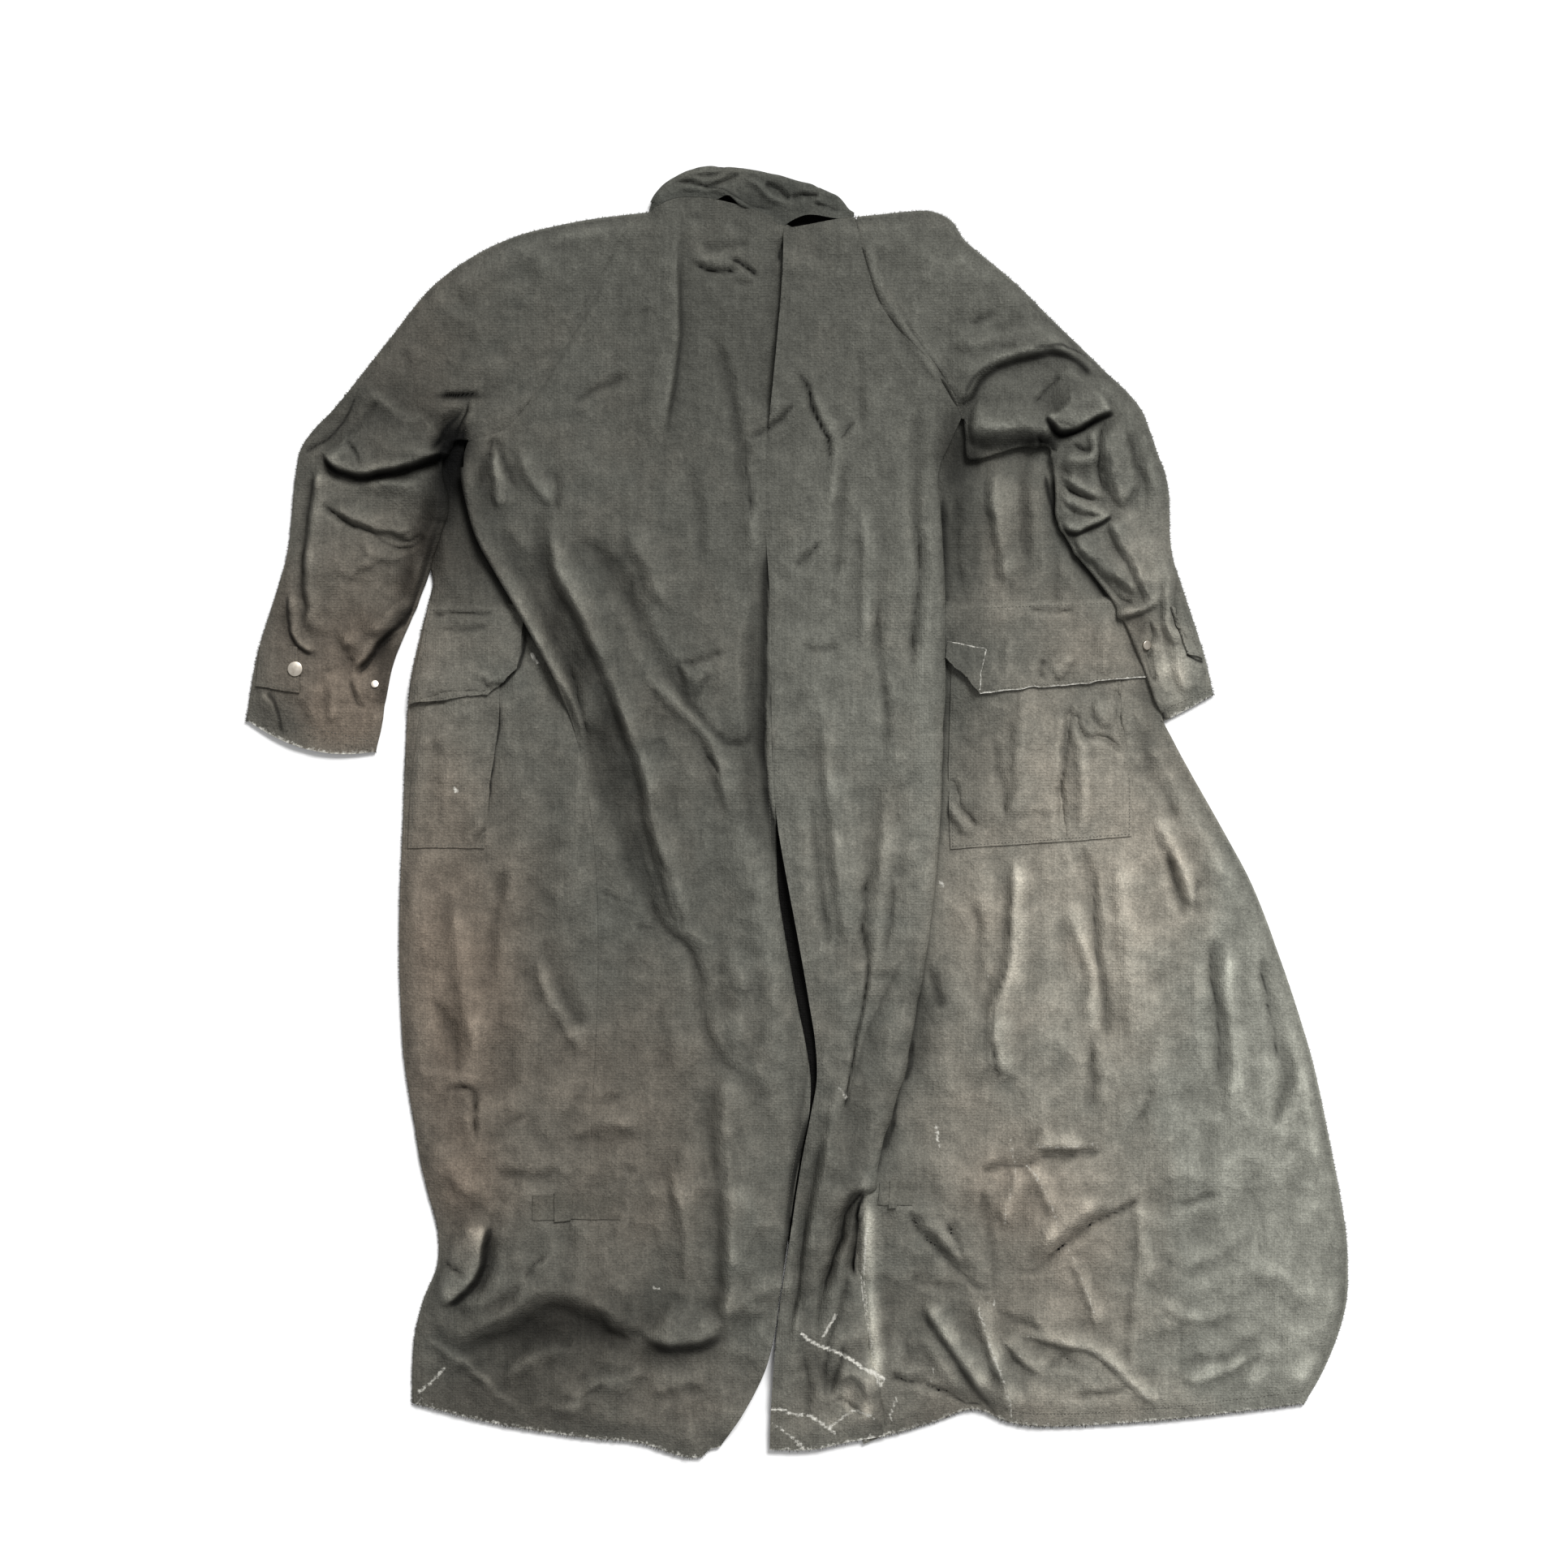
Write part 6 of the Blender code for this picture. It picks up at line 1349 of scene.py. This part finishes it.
def make_collar():
    sections = refine(np.vstack([COLLAR_LEFT, COLLAR_RIGHT[1:]]), COLLAR_PARTS)
    neck = shifted(sections[:, :2], HALF_GAP)
    for x, wide, deep in DRAWN:
        neck[:, 1] += deep * smooth(1.0 - np.abs(neck[:, 0] - x) / wide)
    top_edge = sections[:, 2:4].copy()
    for end, narrow, reach in NARROWED:
        near = smooth(np.linalg.norm(neck - neck[end], axis=1) / reach)[:, None]
        top_edge = neck + (top_edge - neck) * (narrow + (1.0 - narrow) * near)
        inward = np.sign(neck[len(neck) // 2, 0] - neck[end, 0])
        neck[end, 0] += inward * BEND_INSET
        top_edge[end, 0] += inward * BEND_INSET
    cloth = Cloth()
    grid = patch(neck, top_edge, COLLAR_COLUMNS)
    top = cloth.lay(grid, "CO")
    ends = []
    for row, side in ((0, 1), (-1, -1)):
        ends.append(cloth.bend(top[row], side * left_of(grid[row]), FLOOR_LAYER))
    cloth.bend(top[1:-1, -1], left_of(top_edge)[1:-1], FLOOR_LAYER + COLLAR_CLEAR)
    front_edge = shifted(top_edge, np.maximum(sections[:, 4:] - FRONT_LESS, FRONT_LEAST))
    shown = front_edge[COLLAR_PARTS:-COLLAR_PARTS:COLLAR_PARTS]
    neckline = [(x, y + SEAM_GAP) for x, y in FRONT_NECK_LEFT[:0:-1] + FRONT_NECK_RIGHT]
    cloth.plate(ends[0], cloth.rest(shown), ends[1][::-1], cloth.rest(neckline[::-1]))
    return cloth.wall("cloth_collar")


collar = make_collar()
print("Collar:", len(collar.data.polygons), "faces")

# %% [markdown]
# Pockets, flaps, cuff tabs and leg straps lie on the panels: each is a grid between two sides, moved out from
# the cloth below it, with a few folds of its own.

# %% Laid pieces
Laid = namedtuple("Laid", "name panel layer thickness lift opens puff rim left right")
LAID_STEP = 2.6
LAID_BLUR = 3
# shares of a piece's length: where its bulge is full from above and below, and where a flap is sewn down
PUFF_TOP = 0.55
PUFF_BOTTOM = 0.2
SEWN = 0.1
SEWN_SINK = 0.7
RIM_WEAR = 5.0
# the ramp of x over which the right flap goes flat below the cuff, and how flat it gets
FLAT = (325.0, 25.0)
FLAT_SHARE = 0.7
# a piece, its panel, the layer of its folds, its thickness, how far it lies off the panel, how far it stands open
# at its lower end, how far it bulges, how pale its rim is, and its two sides from the upper end down
LAID = (
    Laid("pocket_left", "FL", "PL", 1.2, 1.8, 0, 4, 0.45,
         ((-384, 186), (-392, 110), (-403, 20), (-406, -38)), ((-310, 191), (-311, 100), (-322, 24), (-326, -38))),
    Laid("flap_left", "FL", "GL", 2.0, 2.6, 4, 1, 0.4,
         ((-384, 221), (-392, 170), (-404, 112)), ((-290, 218), (-287, 200), (-294, 150), (-324, 123))),
    Laid("pocket_right", "FR", "PR", 1.2, 1.8, 0, 5, 0.5,
         ((163, 191), (158, 40), (160, -39)), ((334, 194), (340, 100), (350, 30), (349, -26))),
    Laid("flap_right", "FR", "GR", 2.0, 2.6, 5, 1, 0.9,
         ((156, 221), (155, 160), (190, 124)), ((334, 226), (354, 187), (372, 141))),
    Laid("cuff_tab_left", "SL", "TL", 2.0, 2.6, 0, 0, 0.3, ((-560, 178), (-565, 131)), ((-522, 172), (-519, 124))),
    Laid("cuff_tab_right", "SR", "TR", 2.0, 2.6, 0, 0, 0.4, ((388, 214), (406, 166)), ((404, 210), (424, 160))),
    Laid("leg_strap_left", "BL", "ST", 1.2, 1.5, 0, 0, 0, ((-276, -400), (-276, -426)), ((-184, -402), (-184, -426))),
    Laid("leg_strap_right", "FR", "ST", 1.2, 1.5, 0, 0, 0, ((86, -388), (85, -410)), ((121, -388), (120, -411))),
    Laid("strap_keeper_left", "BL", "ST", 1.2, 2.9, 0, 0, 0,
         ((-254, -398), (-254, -428)), ((-236, -399), (-236, -428))),
    Laid("strap_keeper_right", "FR", "ST", 1.2, 2.9, 0, 0, 0, ((97, -385), (96, -413)), ((105, -385), (104, -413))),
)


def laid_grid(left, right):
    """Places between two sides, given from their upper ends down."""
    left, right = np.array(left, dtype=float), np.array(right, dtype=float)
    long = max(length(side) for side in (left, right))
    wide = max(np.linalg.norm(right[0] - left[0]), np.linalg.norm(right[-1] - left[-1]))
    rows, columns = 2 + int(long / LAID_STEP), 2 + int(wide / LAID_STEP)
    return patch(even(left, rows), even(right, rows), columns)


def make_laid(piece, extra=()):
    cloth = Cloth()
    for left, right, more in ((piece.left, piece.right, 0.0), *extra):
        grid = laid_grid(left, right)
        u = np.linspace(0.0, 1.0, grid.shape[1])[None, :]
        v = np.linspace(0.0, 1.0, grid.shape[0])[:, None]
        points, normals, _ = surface(grid, piece.panel)
        own, grime = (part.reshape(grid.shape[:2]) for part in folded(grid.reshape(-1, 2), piece.layer))
        lift = piece.lift + more + piece.opens * v + own
        lift = lift + piece.puff * np.sin(math.pi * u) * smooth(v / PUFF_TOP) * smooth((1.0 - v) / PUFF_BOTTOM)
        rim = (1.0 - v) * grid.shape[0] * LAID_STEP
        if more:
            rim = np.minimum(v * grid.shape[0], (1.0 - u) * grid.shape[1]) * LAID_STEP
        worn = piece.rim * np.clip(1.0 - rim / RIM_WEAR, 0.0, 1.0)
        if piece.opens:
            sewn = 0.0 if more else 1.0 - smooth(v / SEWN)
            lift = lift - sewn * (lift + SEWN_SINK)
            lift = lift - FLAT_SHARE * lift * ramp(grid[..., 0], *FLAT)
        points = points + lift[..., None] * normals
        # height over the blurred surface: ridges paler as worn wax, hollows darker as painted shade
        ridge = points[..., 2] - blurred(points[..., 2], LAID_BLUR)
        cloth.sew(cloth.add(points, facing(points), grime, ridge, 0.0, worn))
    return cloth.wall("cloth_" + piece.name, piece.thickness)


# the turned-up corner of the right flap: its two sides, and how much higher it lies
CORNER = ((((157, 178), (155, 161)), ((199, 170), (189, 125)), 3.0),)
laid = {row.name: make_laid(row, CORNER if row.name == "flap_right" else ()) for row in LAID}
print("Laid pieces:", ", ".join(laid))

# %% [markdown]
# The snaps are turned metal: a cylinder with softened rims, set square on the cloth that carries it.

# %% Snaps
Snap = namedtuple("Snap", "name panel x y radius height")
SNAPS = (
    Snap("cuff_snap_left", laid["cuff_tab_left"], -524, 149, 7.8, 2.4),
    Snap("cuff_stud_left", sleeve_left, -441, 133, 4.2, 2.6),
    Snap("cuff_stud_right", sleeve_right, 365, 174, 5.0, 2.6),
)
SNAP_SIDES = 32
SNAP_SHARP = math.radians(40)
# how deep a snap is set into the cloth, and how round its rims are
SNAP_SEAT = 0.3
RIM_ROUND = 0.7


def finder(piece):
    """A search tree for the piece's surface."""
    points = [vertex.co for vertex in piece.data.vertices]
    return BVHTree.FromPolygons(points, [face.vertices for face in piece.data.polygons])


def on_cloth(finders, places):
    """Points and directions on the highest of the pieces at the given places, and which places have one."""
    points, normals, found = [], [], []
    for x, y in places * MM:
        hits = [tree.ray_cast((x, y, 1.0), (0.0, 0.0, -1.0)) for tree in finders]
        hits = [hit for hit in hits if hit[0] is not None]
        found.append(bool(hits))
        if hits:
            spot, normal = max(hits, key=lambda hit: hit[0].z)[:2]
            points.append(spot / MM)
            normals.append(normal)
    return np.array(points).reshape(-1, 3), np.array(normals).reshape(-1, 3), np.array(found)


def make_snap(snap):
    points, normals, _ = on_cloth([finder(snap.panel)], np.array([[snap.x, snap.y]]))
    middle = points[0] + (snap.height / 2 - SNAP_SEAT) * normals[0]
    turn = turned_to(normals[0])
    bpy.ops.object.select_all(action="DESELECT")
    bpy.ops.mesh.primitive_cylinder_add(
        vertices=SNAP_SIDES, radius=snap.radius * MM, depth=snap.height * MM, location=middle * MM, rotation=turn
    )
    piece = bpy.context.object
    piece.name = piece.data.name = "metal_" + snap.name
    bpy.ops.object.transform_apply(location=True, rotation=True, scale=True)
    bpy.ops.object.mode_set(mode="EDIT")
    bpy.ops.mesh.select_all(action="SELECT")
    bpy.ops.mesh.bevel(offset=RIM_ROUND * MM, segments=3)
    bpy.ops.object.mode_set(mode="OBJECT")
    bpy.ops.object.shade_smooth_by_angle(angle=SNAP_SHARP)
    return piece


def turned_to(direction):
    """The turn that stands a thing's own z axis along a direction."""
    return Vector(direction).to_track_quat("Z", "Y").to_euler()


snaps = {row.name: make_snap(row) for row in SNAPS}
print("Snaps:", ", ".join(snaps))

# %% [markdown]
# The sewing shows as rows of short stitches, each a small spindle laid on the cloth below it. The rows follow the
# raglan seams, the hem, the vent, the cuffs and the edges of the pockets, flaps and tabs.

# %% Stitches
STITCH_STEP = 3.6
STITCH_LONG = 2.5
STITCH_WIDE = 0.8
STITCH_HIGH = 0.35
# how far a stitch's ends and its underside go into the cloth
STITCH_SINK = 0.1
STITCH_DEEP = 0.3
# distances of the rows from the edges in mm
RAGLAN_ROWS = (2.5, 11.5)
HEM_ROW = 13.0
VENT_ROW = 6.0
# rows of the sleeves' and flaps' grids that a row of stitches follows
CUFF_ROW = -6
FLAP_ROWS = (1, 4)
SEAM_POINTS = 60
BODY_CLOTH = (back_left, back_right, front_left, front_right)


def stitch_row(finders, line):
    """The corners of every stitch along a line, ten to a stitch."""
    count = max(3, int(length(line) / STITCH_STEP))
    places = even(line, count)
    along = np.gradient(places, axis=0)
    spots, up, found = on_cloth(finders, places)
    along = np.concatenate([along, np.zeros((count, 1))], axis=1)[found]
    along = along - (along * up).sum(1, keepdims=True) * up
    along = along / np.linalg.norm(along, axis=1, keepdims=True)
    side = np.cross(up, along)
    corners = [spots - STITCH_LONG / 2 * along - STITCH_SINK * up]
    for place in (-0.25, 0.25):
        middle = spots + place * STITCH_LONG * along
        for out, rise in ((STITCH_WIDE / 2, 0.0), (0.0, STITCH_HIGH), (-STITCH_WIDE / 2, 0.0), (0.0, -STITCH_DEEP)):
            corners.append(middle + out * side + rise * up)
    corners.append(spots + STITCH_LONG / 2 * along - STITCH_SINK * up)
    return np.stack(corners, axis=1).reshape(-1, 3)


def stitch_faces(count):
    """Faces of so many stitches."""
    ring = [(k, (k + 1) % 4) for k in range(4)]
    faces = [(0, 1 + a, 1 + b) for a, b in ring] + [(1 + a, 5 + a, 5 + b, 1 + b) for a, b in ring]
    faces += [(5 + a, 9, 5 + b) for a, b in ring]
    return [tuple(10 * k + corner for corner in face) for k in range(count) for face in faces]


def rim_rows(row):
    """Lines just inside the sides and the lower edge of a laid piece, and below the upper edge of a flap."""
    grid = laid_grid(row.left, row.right)
    lines = [grid[1:-1, 1], grid[-2, 1:-1], grid[1:-1, -2]]
    return lines + [grid[k, 1:-1] for k in FLAP_ROWS if "flap" in row.name]


def make_stitches():
    rows = []
    body = [finder(piece) for piece in BODY_CLOTH]
    left, right = finder(sleeve_left), finder(sleeve_right)
    for distance in RAGLAN_ROWS:
        rows.append(stitch_row([left], shifted(curve(LEFT_RAGLAN, SEAM_POINTS), -distance)))
        rows.append(stitch_row([right], shifted(curve(RIGHT_RAGLAN, SEAM_POINTS), distance)))
    rows.append(stitch_row(body, shifted(HEM_LINE, HEM_ROW)))
    for name, tree, distance in (("centre_left", body[0], -VENT_ROW), ("centre_right", body[1], VENT_ROW)):
        line = body_line(name)
        rows.append(stitch_row([tree], shifted(line[line[:, 1] < VENT_TOP_Y], distance)))
    for sections, tree in ((LEFT_SLEEVE, left), (RIGHT_SLEEVE, right)):
        rows.append(stitch_row([tree], sections[CUFF_ROW].reshape(2, 2)))
    for row in LAID:
        if "strap" not in row.name:
            tree = finder(laid[row.name])
            rows += [stitch_row([tree], line) for line in rim_rows(row)]
    points = np.vstack(rows)
    return make_object("thread_stitches", points, stitch_faces(len(points) // 10))


stitches = make_stitches()
print("Stitches:", len(stitches.data.vertices) // 10)

# %% [markdown]
# Worn edges are hairy: short thin spikes stand out from the outline and from the frayed hem and cuffs. Random
# numbers from a fixed start place them, so that they come out the same each time.

# %% Loose threads
Fray = namedtuple("Fray", "line outward low high each long")
chance = np.random.default_rng(7)
# a line, the side its spikes stand out to, the least and the greatest height, spikes for each mm, and their length
FRAYS = (
    Fray(HEM_LINE[HEM_LINE[:, 0] < -92.0], -1, 3.0, 9.0, 1.4, 5.0),
    Fray(HEM_LINE[HEM_LINE[:, 0] > -26.0], -1, 3.0, 9.0, 1.4, 5.0),
    Fray(LEFT_SLEEVE[:, :2], -1, 1.5, 5.5, 1.8, 4.2),
    Fray(RIGHT_SLEEVE[:, :2], 1, 1.5, 5.5, 1.8, 4.2),
    Fray(LEFT_FOLD[LEFT_FOLD[:, 1] < 225.0], -1, 1.5, 5.5, 1.8, 4.2),
    Fray(RIGHT_FOLD[RIGHT_FOLD[:, 1] < 75.0], 1, 1.5, 5.5, 1.8, 4.2),
    Fray(COLLAR_LEFT[:, 2:4], 1, 2.0, 8.0, 2.0, 5.0),
    Fray(COLLAR_RIGHT[:-3, 2:4], 1, 2.0, 8.0, 1.6, 4.0),
    Fray(CUFFS["SL"], -1, 2.0, 7.0, 0.9, 4.0),
    Fray(CUFFS["SR"][::-1], -1, 2.0, 7.0, 0.9, 4.0),
)
# how much the spikes' directions spread, in radians, and their feet along the line
TURN_SPREAD = 0.6
ROOT_SPREAD = 1.2
# how deep the feet are set into the edge, half their width, and how far they reach down and up
ROOT_DEEP = 1.0
HALF_WIDE = 0.4
FOOT_DOWN = 0.2
FOOT_UP = 0.35
# the shortest spike's share of the full length, how far a tip may hang or rise, and the lowest height of a tip
SHORTEST = 0.35
TIP_RANGE = (-1.5, 1.0)
LOWEST_TIP = 0.4


def fray(row):
    """Corners of the spikes along one line, four to a spike."""
    count = int(row.each * length(row.line))
    places = even(row.line, max(3, count))
    out = row.outward * left_of(places)
    beside_out = np.stack([-out[:, 1], out[:, 0]], axis=1)
    angle = chance.normal(0.0, TURN_SPREAD, count)
    cos, sin = np.cos(angle), np.sin(angle)
    way = np.stack([cos * out[:, 0] - sin * out[:, 1], sin * out[:, 0] + cos * out[:, 1]], axis=1)
    long = row.long * chance.uniform(SHORTEST, 1.0, count)
    root = places + ROOT_SPREAD * chance.normal(0.0, 1.0, (count, 1)) * beside_out - ROOT_DEEP * out
    z = chance.uniform(row.low, row.high, count)
    half = HALF_WIDE * np.stack([-way[:, 1], way[:, 0]], axis=1)
    tip_z = np.maximum(LOWEST_TIP, z + chance.uniform(*TIP_RANGE, count))
    tip = np.column_stack([root + long[:, None] * way, tip_z])
    corners = [np.column_stack([root + half, z - FOOT_DOWN]), np.column_stack([root - half, z - FOOT_DOWN])]
    corners += [np.column_stack([root, z + FOOT_UP]), tip]
    return np.stack(corners, axis=1).reshape(-1, 3)


def make_threads():
    points = np.vstack([fray(row) for row in FRAYS])
    spike = ((0, 2, 1), (0, 1, 3), (1, 2, 3), (2, 0, 3))
    faces = [tuple(4 * k + corner for corner in face) for k in range(len(points) // 4) for face in spike]
    return make_object("thread_frayed", points, faces)


threads = make_threads()
print("Loose threads:", len(threads.data.vertices) // 4)

# %% [markdown]
# The cloth's material reads what is stored in the mesh: olive or brown wax, lighter and darker patches of tone,
# painted shade and painted light, painted shade in the hollows, ridges paler as worn wax and hollows darker as
# painted shade, a near-black inner face as painted shade, and scratches whose edges are broken up by fine noise.

# %% Materials


def colour(code):
    """Linear colour from a hex code of a screen colour."""
    parts = [int(code[k : k + 2], 16) / 255 for k in (1, 3, 5)]
    return (*[p / 12.92 if p <= 0.04045 else ((p + 0.055) / 1.055) ** 2.4 for p in parts], 1.0)


def node(tree, kind, inputs, out=0, **settings):
    """Adds a node with its settings, sets or links its inputs by name or number, and gives one of its outputs."""
    made = tree.nodes.new("ShaderNode" + kind)
    for key, value in settings.items():
        setattr(made, key, value)
    for key, value in inputs.items():
        if isinstance(value, bpy.types.NodeSocket):
            tree.links.new(value, made.inputs[key])
        else:
            made.inputs[key].default_value = value
    return made.outputs[out]


def total(tree, start, *parts):
    """A value with shares of other values added to it."""
    for part, share in parts:
        start = node(tree, "Math", {0: part, 1: share, 2: start}, operation="MULTIPLY_ADD")
    return start


def new_paint(name, roughness):
    """A material, its nodes, its shader and the place on the piece."""
    paint = bpy.data.materials.new(name)
    paint.use_nodes = True
    tree = paint.node_tree
    shader = tree.nodes["Principled BSDF"]
    shader.inputs["Roughness"].default_value = roughness
    return paint, tree, shader, node(tree, "TexCoord", {}, "Object")


# threads every 1.7 mm, three times as coarse as the real weave, so that they show
THREAD_STEP = 1.7
# a wave of scale 0.314 repeats once in each unit
WAVE_UNIT = 0.314


def cloth_material(name, olive, brown, inner, pale, roughness):
    """Worn waxed cotton, coloured by the wear, tone, painted shade and painted light that are stored in the mesh."""
    paint, tree, shader, place = new_paint(name, roughness)
    shader.inputs["Specular IOR Level"].default_value = 0.1
    read = {look: node(tree, "Attribute", {}, "Fac", attribute_name=look) for look in LOOKS}

    def grain(wide, high, detail):
        """Noise around 0, with features of the given width and height in mm."""
        scale = [1.0 / (size * MM) for size in (wide, high, wide)]
        way = node(tree, "Mapping", {"Vector": place, "Scale": scale})
        made = node(tree, "TexNoise", {"Vector": way, "Scale": 1.0, "Detail": detail, "Roughness": 0.62}, "Fac")
        return node(tree, "Math", {0: made, 1: 0.5}, operation="SUBTRACT")

    clouds, mottle, fine, streaks = grain(60, 60, 3.0), grain(15, 15, 5.0), grain(2.2, 2.2, 2.0), grain(5, 42, 3.0)
    tint = total(tree, read["brown"], (clouds, 0.5))
    base = node(tree, "Mix", {0: tint, 6: colour(olive), 7: colour(brown)}, 2, data_type="RGBA")
    # lighter and darker in doublings (ridges paler as worn wax, hollows darker as painted shade), and then darkened
    # by the painted crease shade, whose edge the fine grain breaks up
    parts = ((clouds, 0.3), (mottle, 1.1), (fine, 1.7), (streaks, 0.85), (read["ridge"], 0.15))
    value = node(tree, "Math", {0: 2.0, 1: total(tree, read["light"], *parts)}, operation="POWER")
    broken = total(tree, read["grime"], (fine, 0.5), (mottle, 0.35))
    crisp = node(tree, "MapRange", {0: broken, 1: 0.28, 2: 0.62}, interpolation_type="SMOOTHSTEP")
    unshaded = total(tree, 1.0, (read["grime"], -0.5), (crisp, -0.42))
    value = node(tree, "Math", {0: value, 1: unshaded}, operation="MULTIPLY")
    base = node(tree, "VectorMath", {0: base, "Scale": value}, operation="SCALE")
    # scratches and rubbed edges, and the inner face, painted near-black as shade
    ragged = total(tree, read["scuff"], (grain(4, 4, 4.0), 1.3))
    worn = node(tree, "MapRange", {0: ragged, 1: 0.6, 2: 1.0, 4: 0.9})
    base = node(tree, "Mix", {0: worn, 6: base, 7: colour(pale)}, 2, data_type="RGBA")
    base = node(tree, "Mix", {0: read["inside"], 6: base, 7: colour(inner)}, 2, data_type="RGBA")
    tree.links.new(base, shader.inputs["Base Color"])
    wave = {"Vector": place, "Scale": WAVE_UNIT / (THREAD_STEP * MM), "Distortion": 1.5}
    warp, weft = (node(tree, "TexWave", wave, "Fac", bands_direction=way) for way in ("X", "Y"))
    relief = total(tree, 0.0, (warp, 0.25), (weft, 0.25), (mottle, 5.0), (fine, 1.2))
    bump = node(tree, "Bump", {"Strength": 0.7, "Distance": 1.0 * MM, "Height": relief})
    tree.links.new(bump, shader.inputs["Normal"])
    return paint


def spotted_material(name, first, second, size, roughness, metallic):
    """A plain material whose two colours change into each other in spots of the given size in mm."""
    paint, tree, shader, place = new_paint(name, roughness)
    spots = node(tree, "TexNoise", {"Vector": place, "Scale": 1.0 / (size * MM), "Detail": 3.0}, "Fac")
    base = node(tree, "Mix", {0: spots, 6: colour(first), 7: colour(second)}, 2, data_type="RGBA")
    tree.links.new(base, shader.inputs["Base Color"])
    shader.inputs["Metallic"].default_value = metallic
    return paint


# matt, almost without gloss, where the wax has worn off; the collar and the tape are duller still
# the third colour of each is the inner face's, near-black as painted shade where the inside shows through gaps and
# the vent
WAXED = cloth_material("waxed_cotton", "#53534d", "#635a50", "#0b0a09", "#d6d4cb", 0.72)
COLLAR_CLOTH = cloth_material("collar_cloth", "#4a4b46", "#524d44", "#0b0a09", "#a5a197", 0.85)
TAPE = cloth_material("tape", "#4f4f49", "#5a5147", "#0b0a09", "#8d8a80", 0.8)
# dull brushed metal with a little tarnish
METAL = spotted_material("snap_metal", "#f3ecdf", "#b3a797", 4.0, 0.35, 1.0)
# sewing thread and loose fibres: waxed like the cloth, darker or paler from place to place
THREAD = spotted_material("thread", "#2b2a26", "#5c5a51", 30.0, 0.8, 0.0)
print("Materials:", ", ".join(paint.name for paint in (WAXED, COLLAR_CLOTH, TAPE, METAL, THREAD)))

# %% [markdown]
# Every piece rides on the coat's one body and stands for its solid.

# %% Pieces in the frame
# a piece's node in the frame, its mesh, the name of its slot, and its material
Piece = namedtuple("Piece", "node made slot paint")
PIECES = [Piece("collar", collar, "collar_cloth", COLLAR_CLOTH)]
for made in (back_left, back_right, front_left, front_right, sleeve_left, sleeve_right):
    PIECES.append(Piece(made.name.removeprefix("cloth_"), made, "waxed_cotton", WAXED))
for name, made in laid.items():
    strap = "strap" in name
    PIECES.append(Piece(name, made, "tape" if strap else "waxed_cotton", TAPE if strap else WAXED))
for row in PIECES:
    row.made.data.materials.append(row.paint)
    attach(row.made, "root")
    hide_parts(row.node)
for made in (stitches, threads):
    made.data.materials.append(THREAD)
    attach(made, "root")
for name, made in snaps.items():
    made.data.materials.append(METAL)
    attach(made, "root")
    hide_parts(name)
print("Pieces:", len(PIECES) + len(snaps))

# %% [markdown]
# The floor is plain and almost white. The light is soft and comes from all round, a little stronger from the
# collar's side, and the camera looks straight down.

# %% Floor, light and camera
# the middle and the width of what the camera sees, in m, and its lens and sensor in mm
CENTRE = (-0.0136, 0.0289)
FRAME_WIDE = 1.642
LENS = 100.0
SENSOR = 36.0
CAMERA_FAR = 50.0
# where the soft light comes from, how wide it looks in degrees, its strength, and that of the light all round
LIGHT_FROM = (0.3, 0.6, 0.75)
LIGHT_WIDE = 24.0
LIGHT_STRENGTH = 3.5
WORLD_STRENGTH = 0.47
FLOOR_WIDE = 40.0
bpy.ops.mesh.primitive_plane_add(size=FLOOR_WIDE, location=(0.0, 0.0, 0.0))
floor = bpy.context.object
floor.name = floor.data.name = "floor"
floor_paint = bpy.data.materials.new("pale_floor")
floor_paint.use_nodes = True
floor_look = {"Base Color": (0.95, 0.95, 0.95, 1.0), "Roughness": 0.9, "Specular IOR Level": 0.0}
for key, value in floor_look.items():
    floor_paint.node_tree.nodes["Principled BSDF"].inputs[key].default_value = value
floor.data.materials.append(floor_paint)

world = bpy.data.worlds.new("studio")
world.use_nodes = True
for key, value in {"Color": (1.0, 1.0, 1.0, 1.0), "Strength": WORLD_STRENGTH}.items():
    world.node_tree.nodes["Background"].inputs[key].default_value = value
bpy.context.scene.world = world
bpy.ops.object.light_add(type="SUN", location=(0.5, 3.0, 3.5))
lamp = bpy.context.object
lamp.name = "soft_light"
lamp.data.angle = math.radians(LIGHT_WIDE)
lamp.data.energy = LIGHT_STRENGTH
lamp.rotation_euler = turned_to(LIGHT_FROM)

view = bpy.data.cameras.new("above")
view.lens = LENS
view.sensor_width = SENSOR
view.clip_end = CAMERA_FAR
camera = bpy.data.objects.new("above", view)
camera.location = (*CENTRE, FRAME_WIDE * LENS / SENSOR)
bpy.context.scene.collection.objects.link(camera)
bpy.context.scene.camera = camera
bpy.context.scene.view_settings.view_transform = "Standard"
print("Camera height in m:", round(camera.location.z, 2))
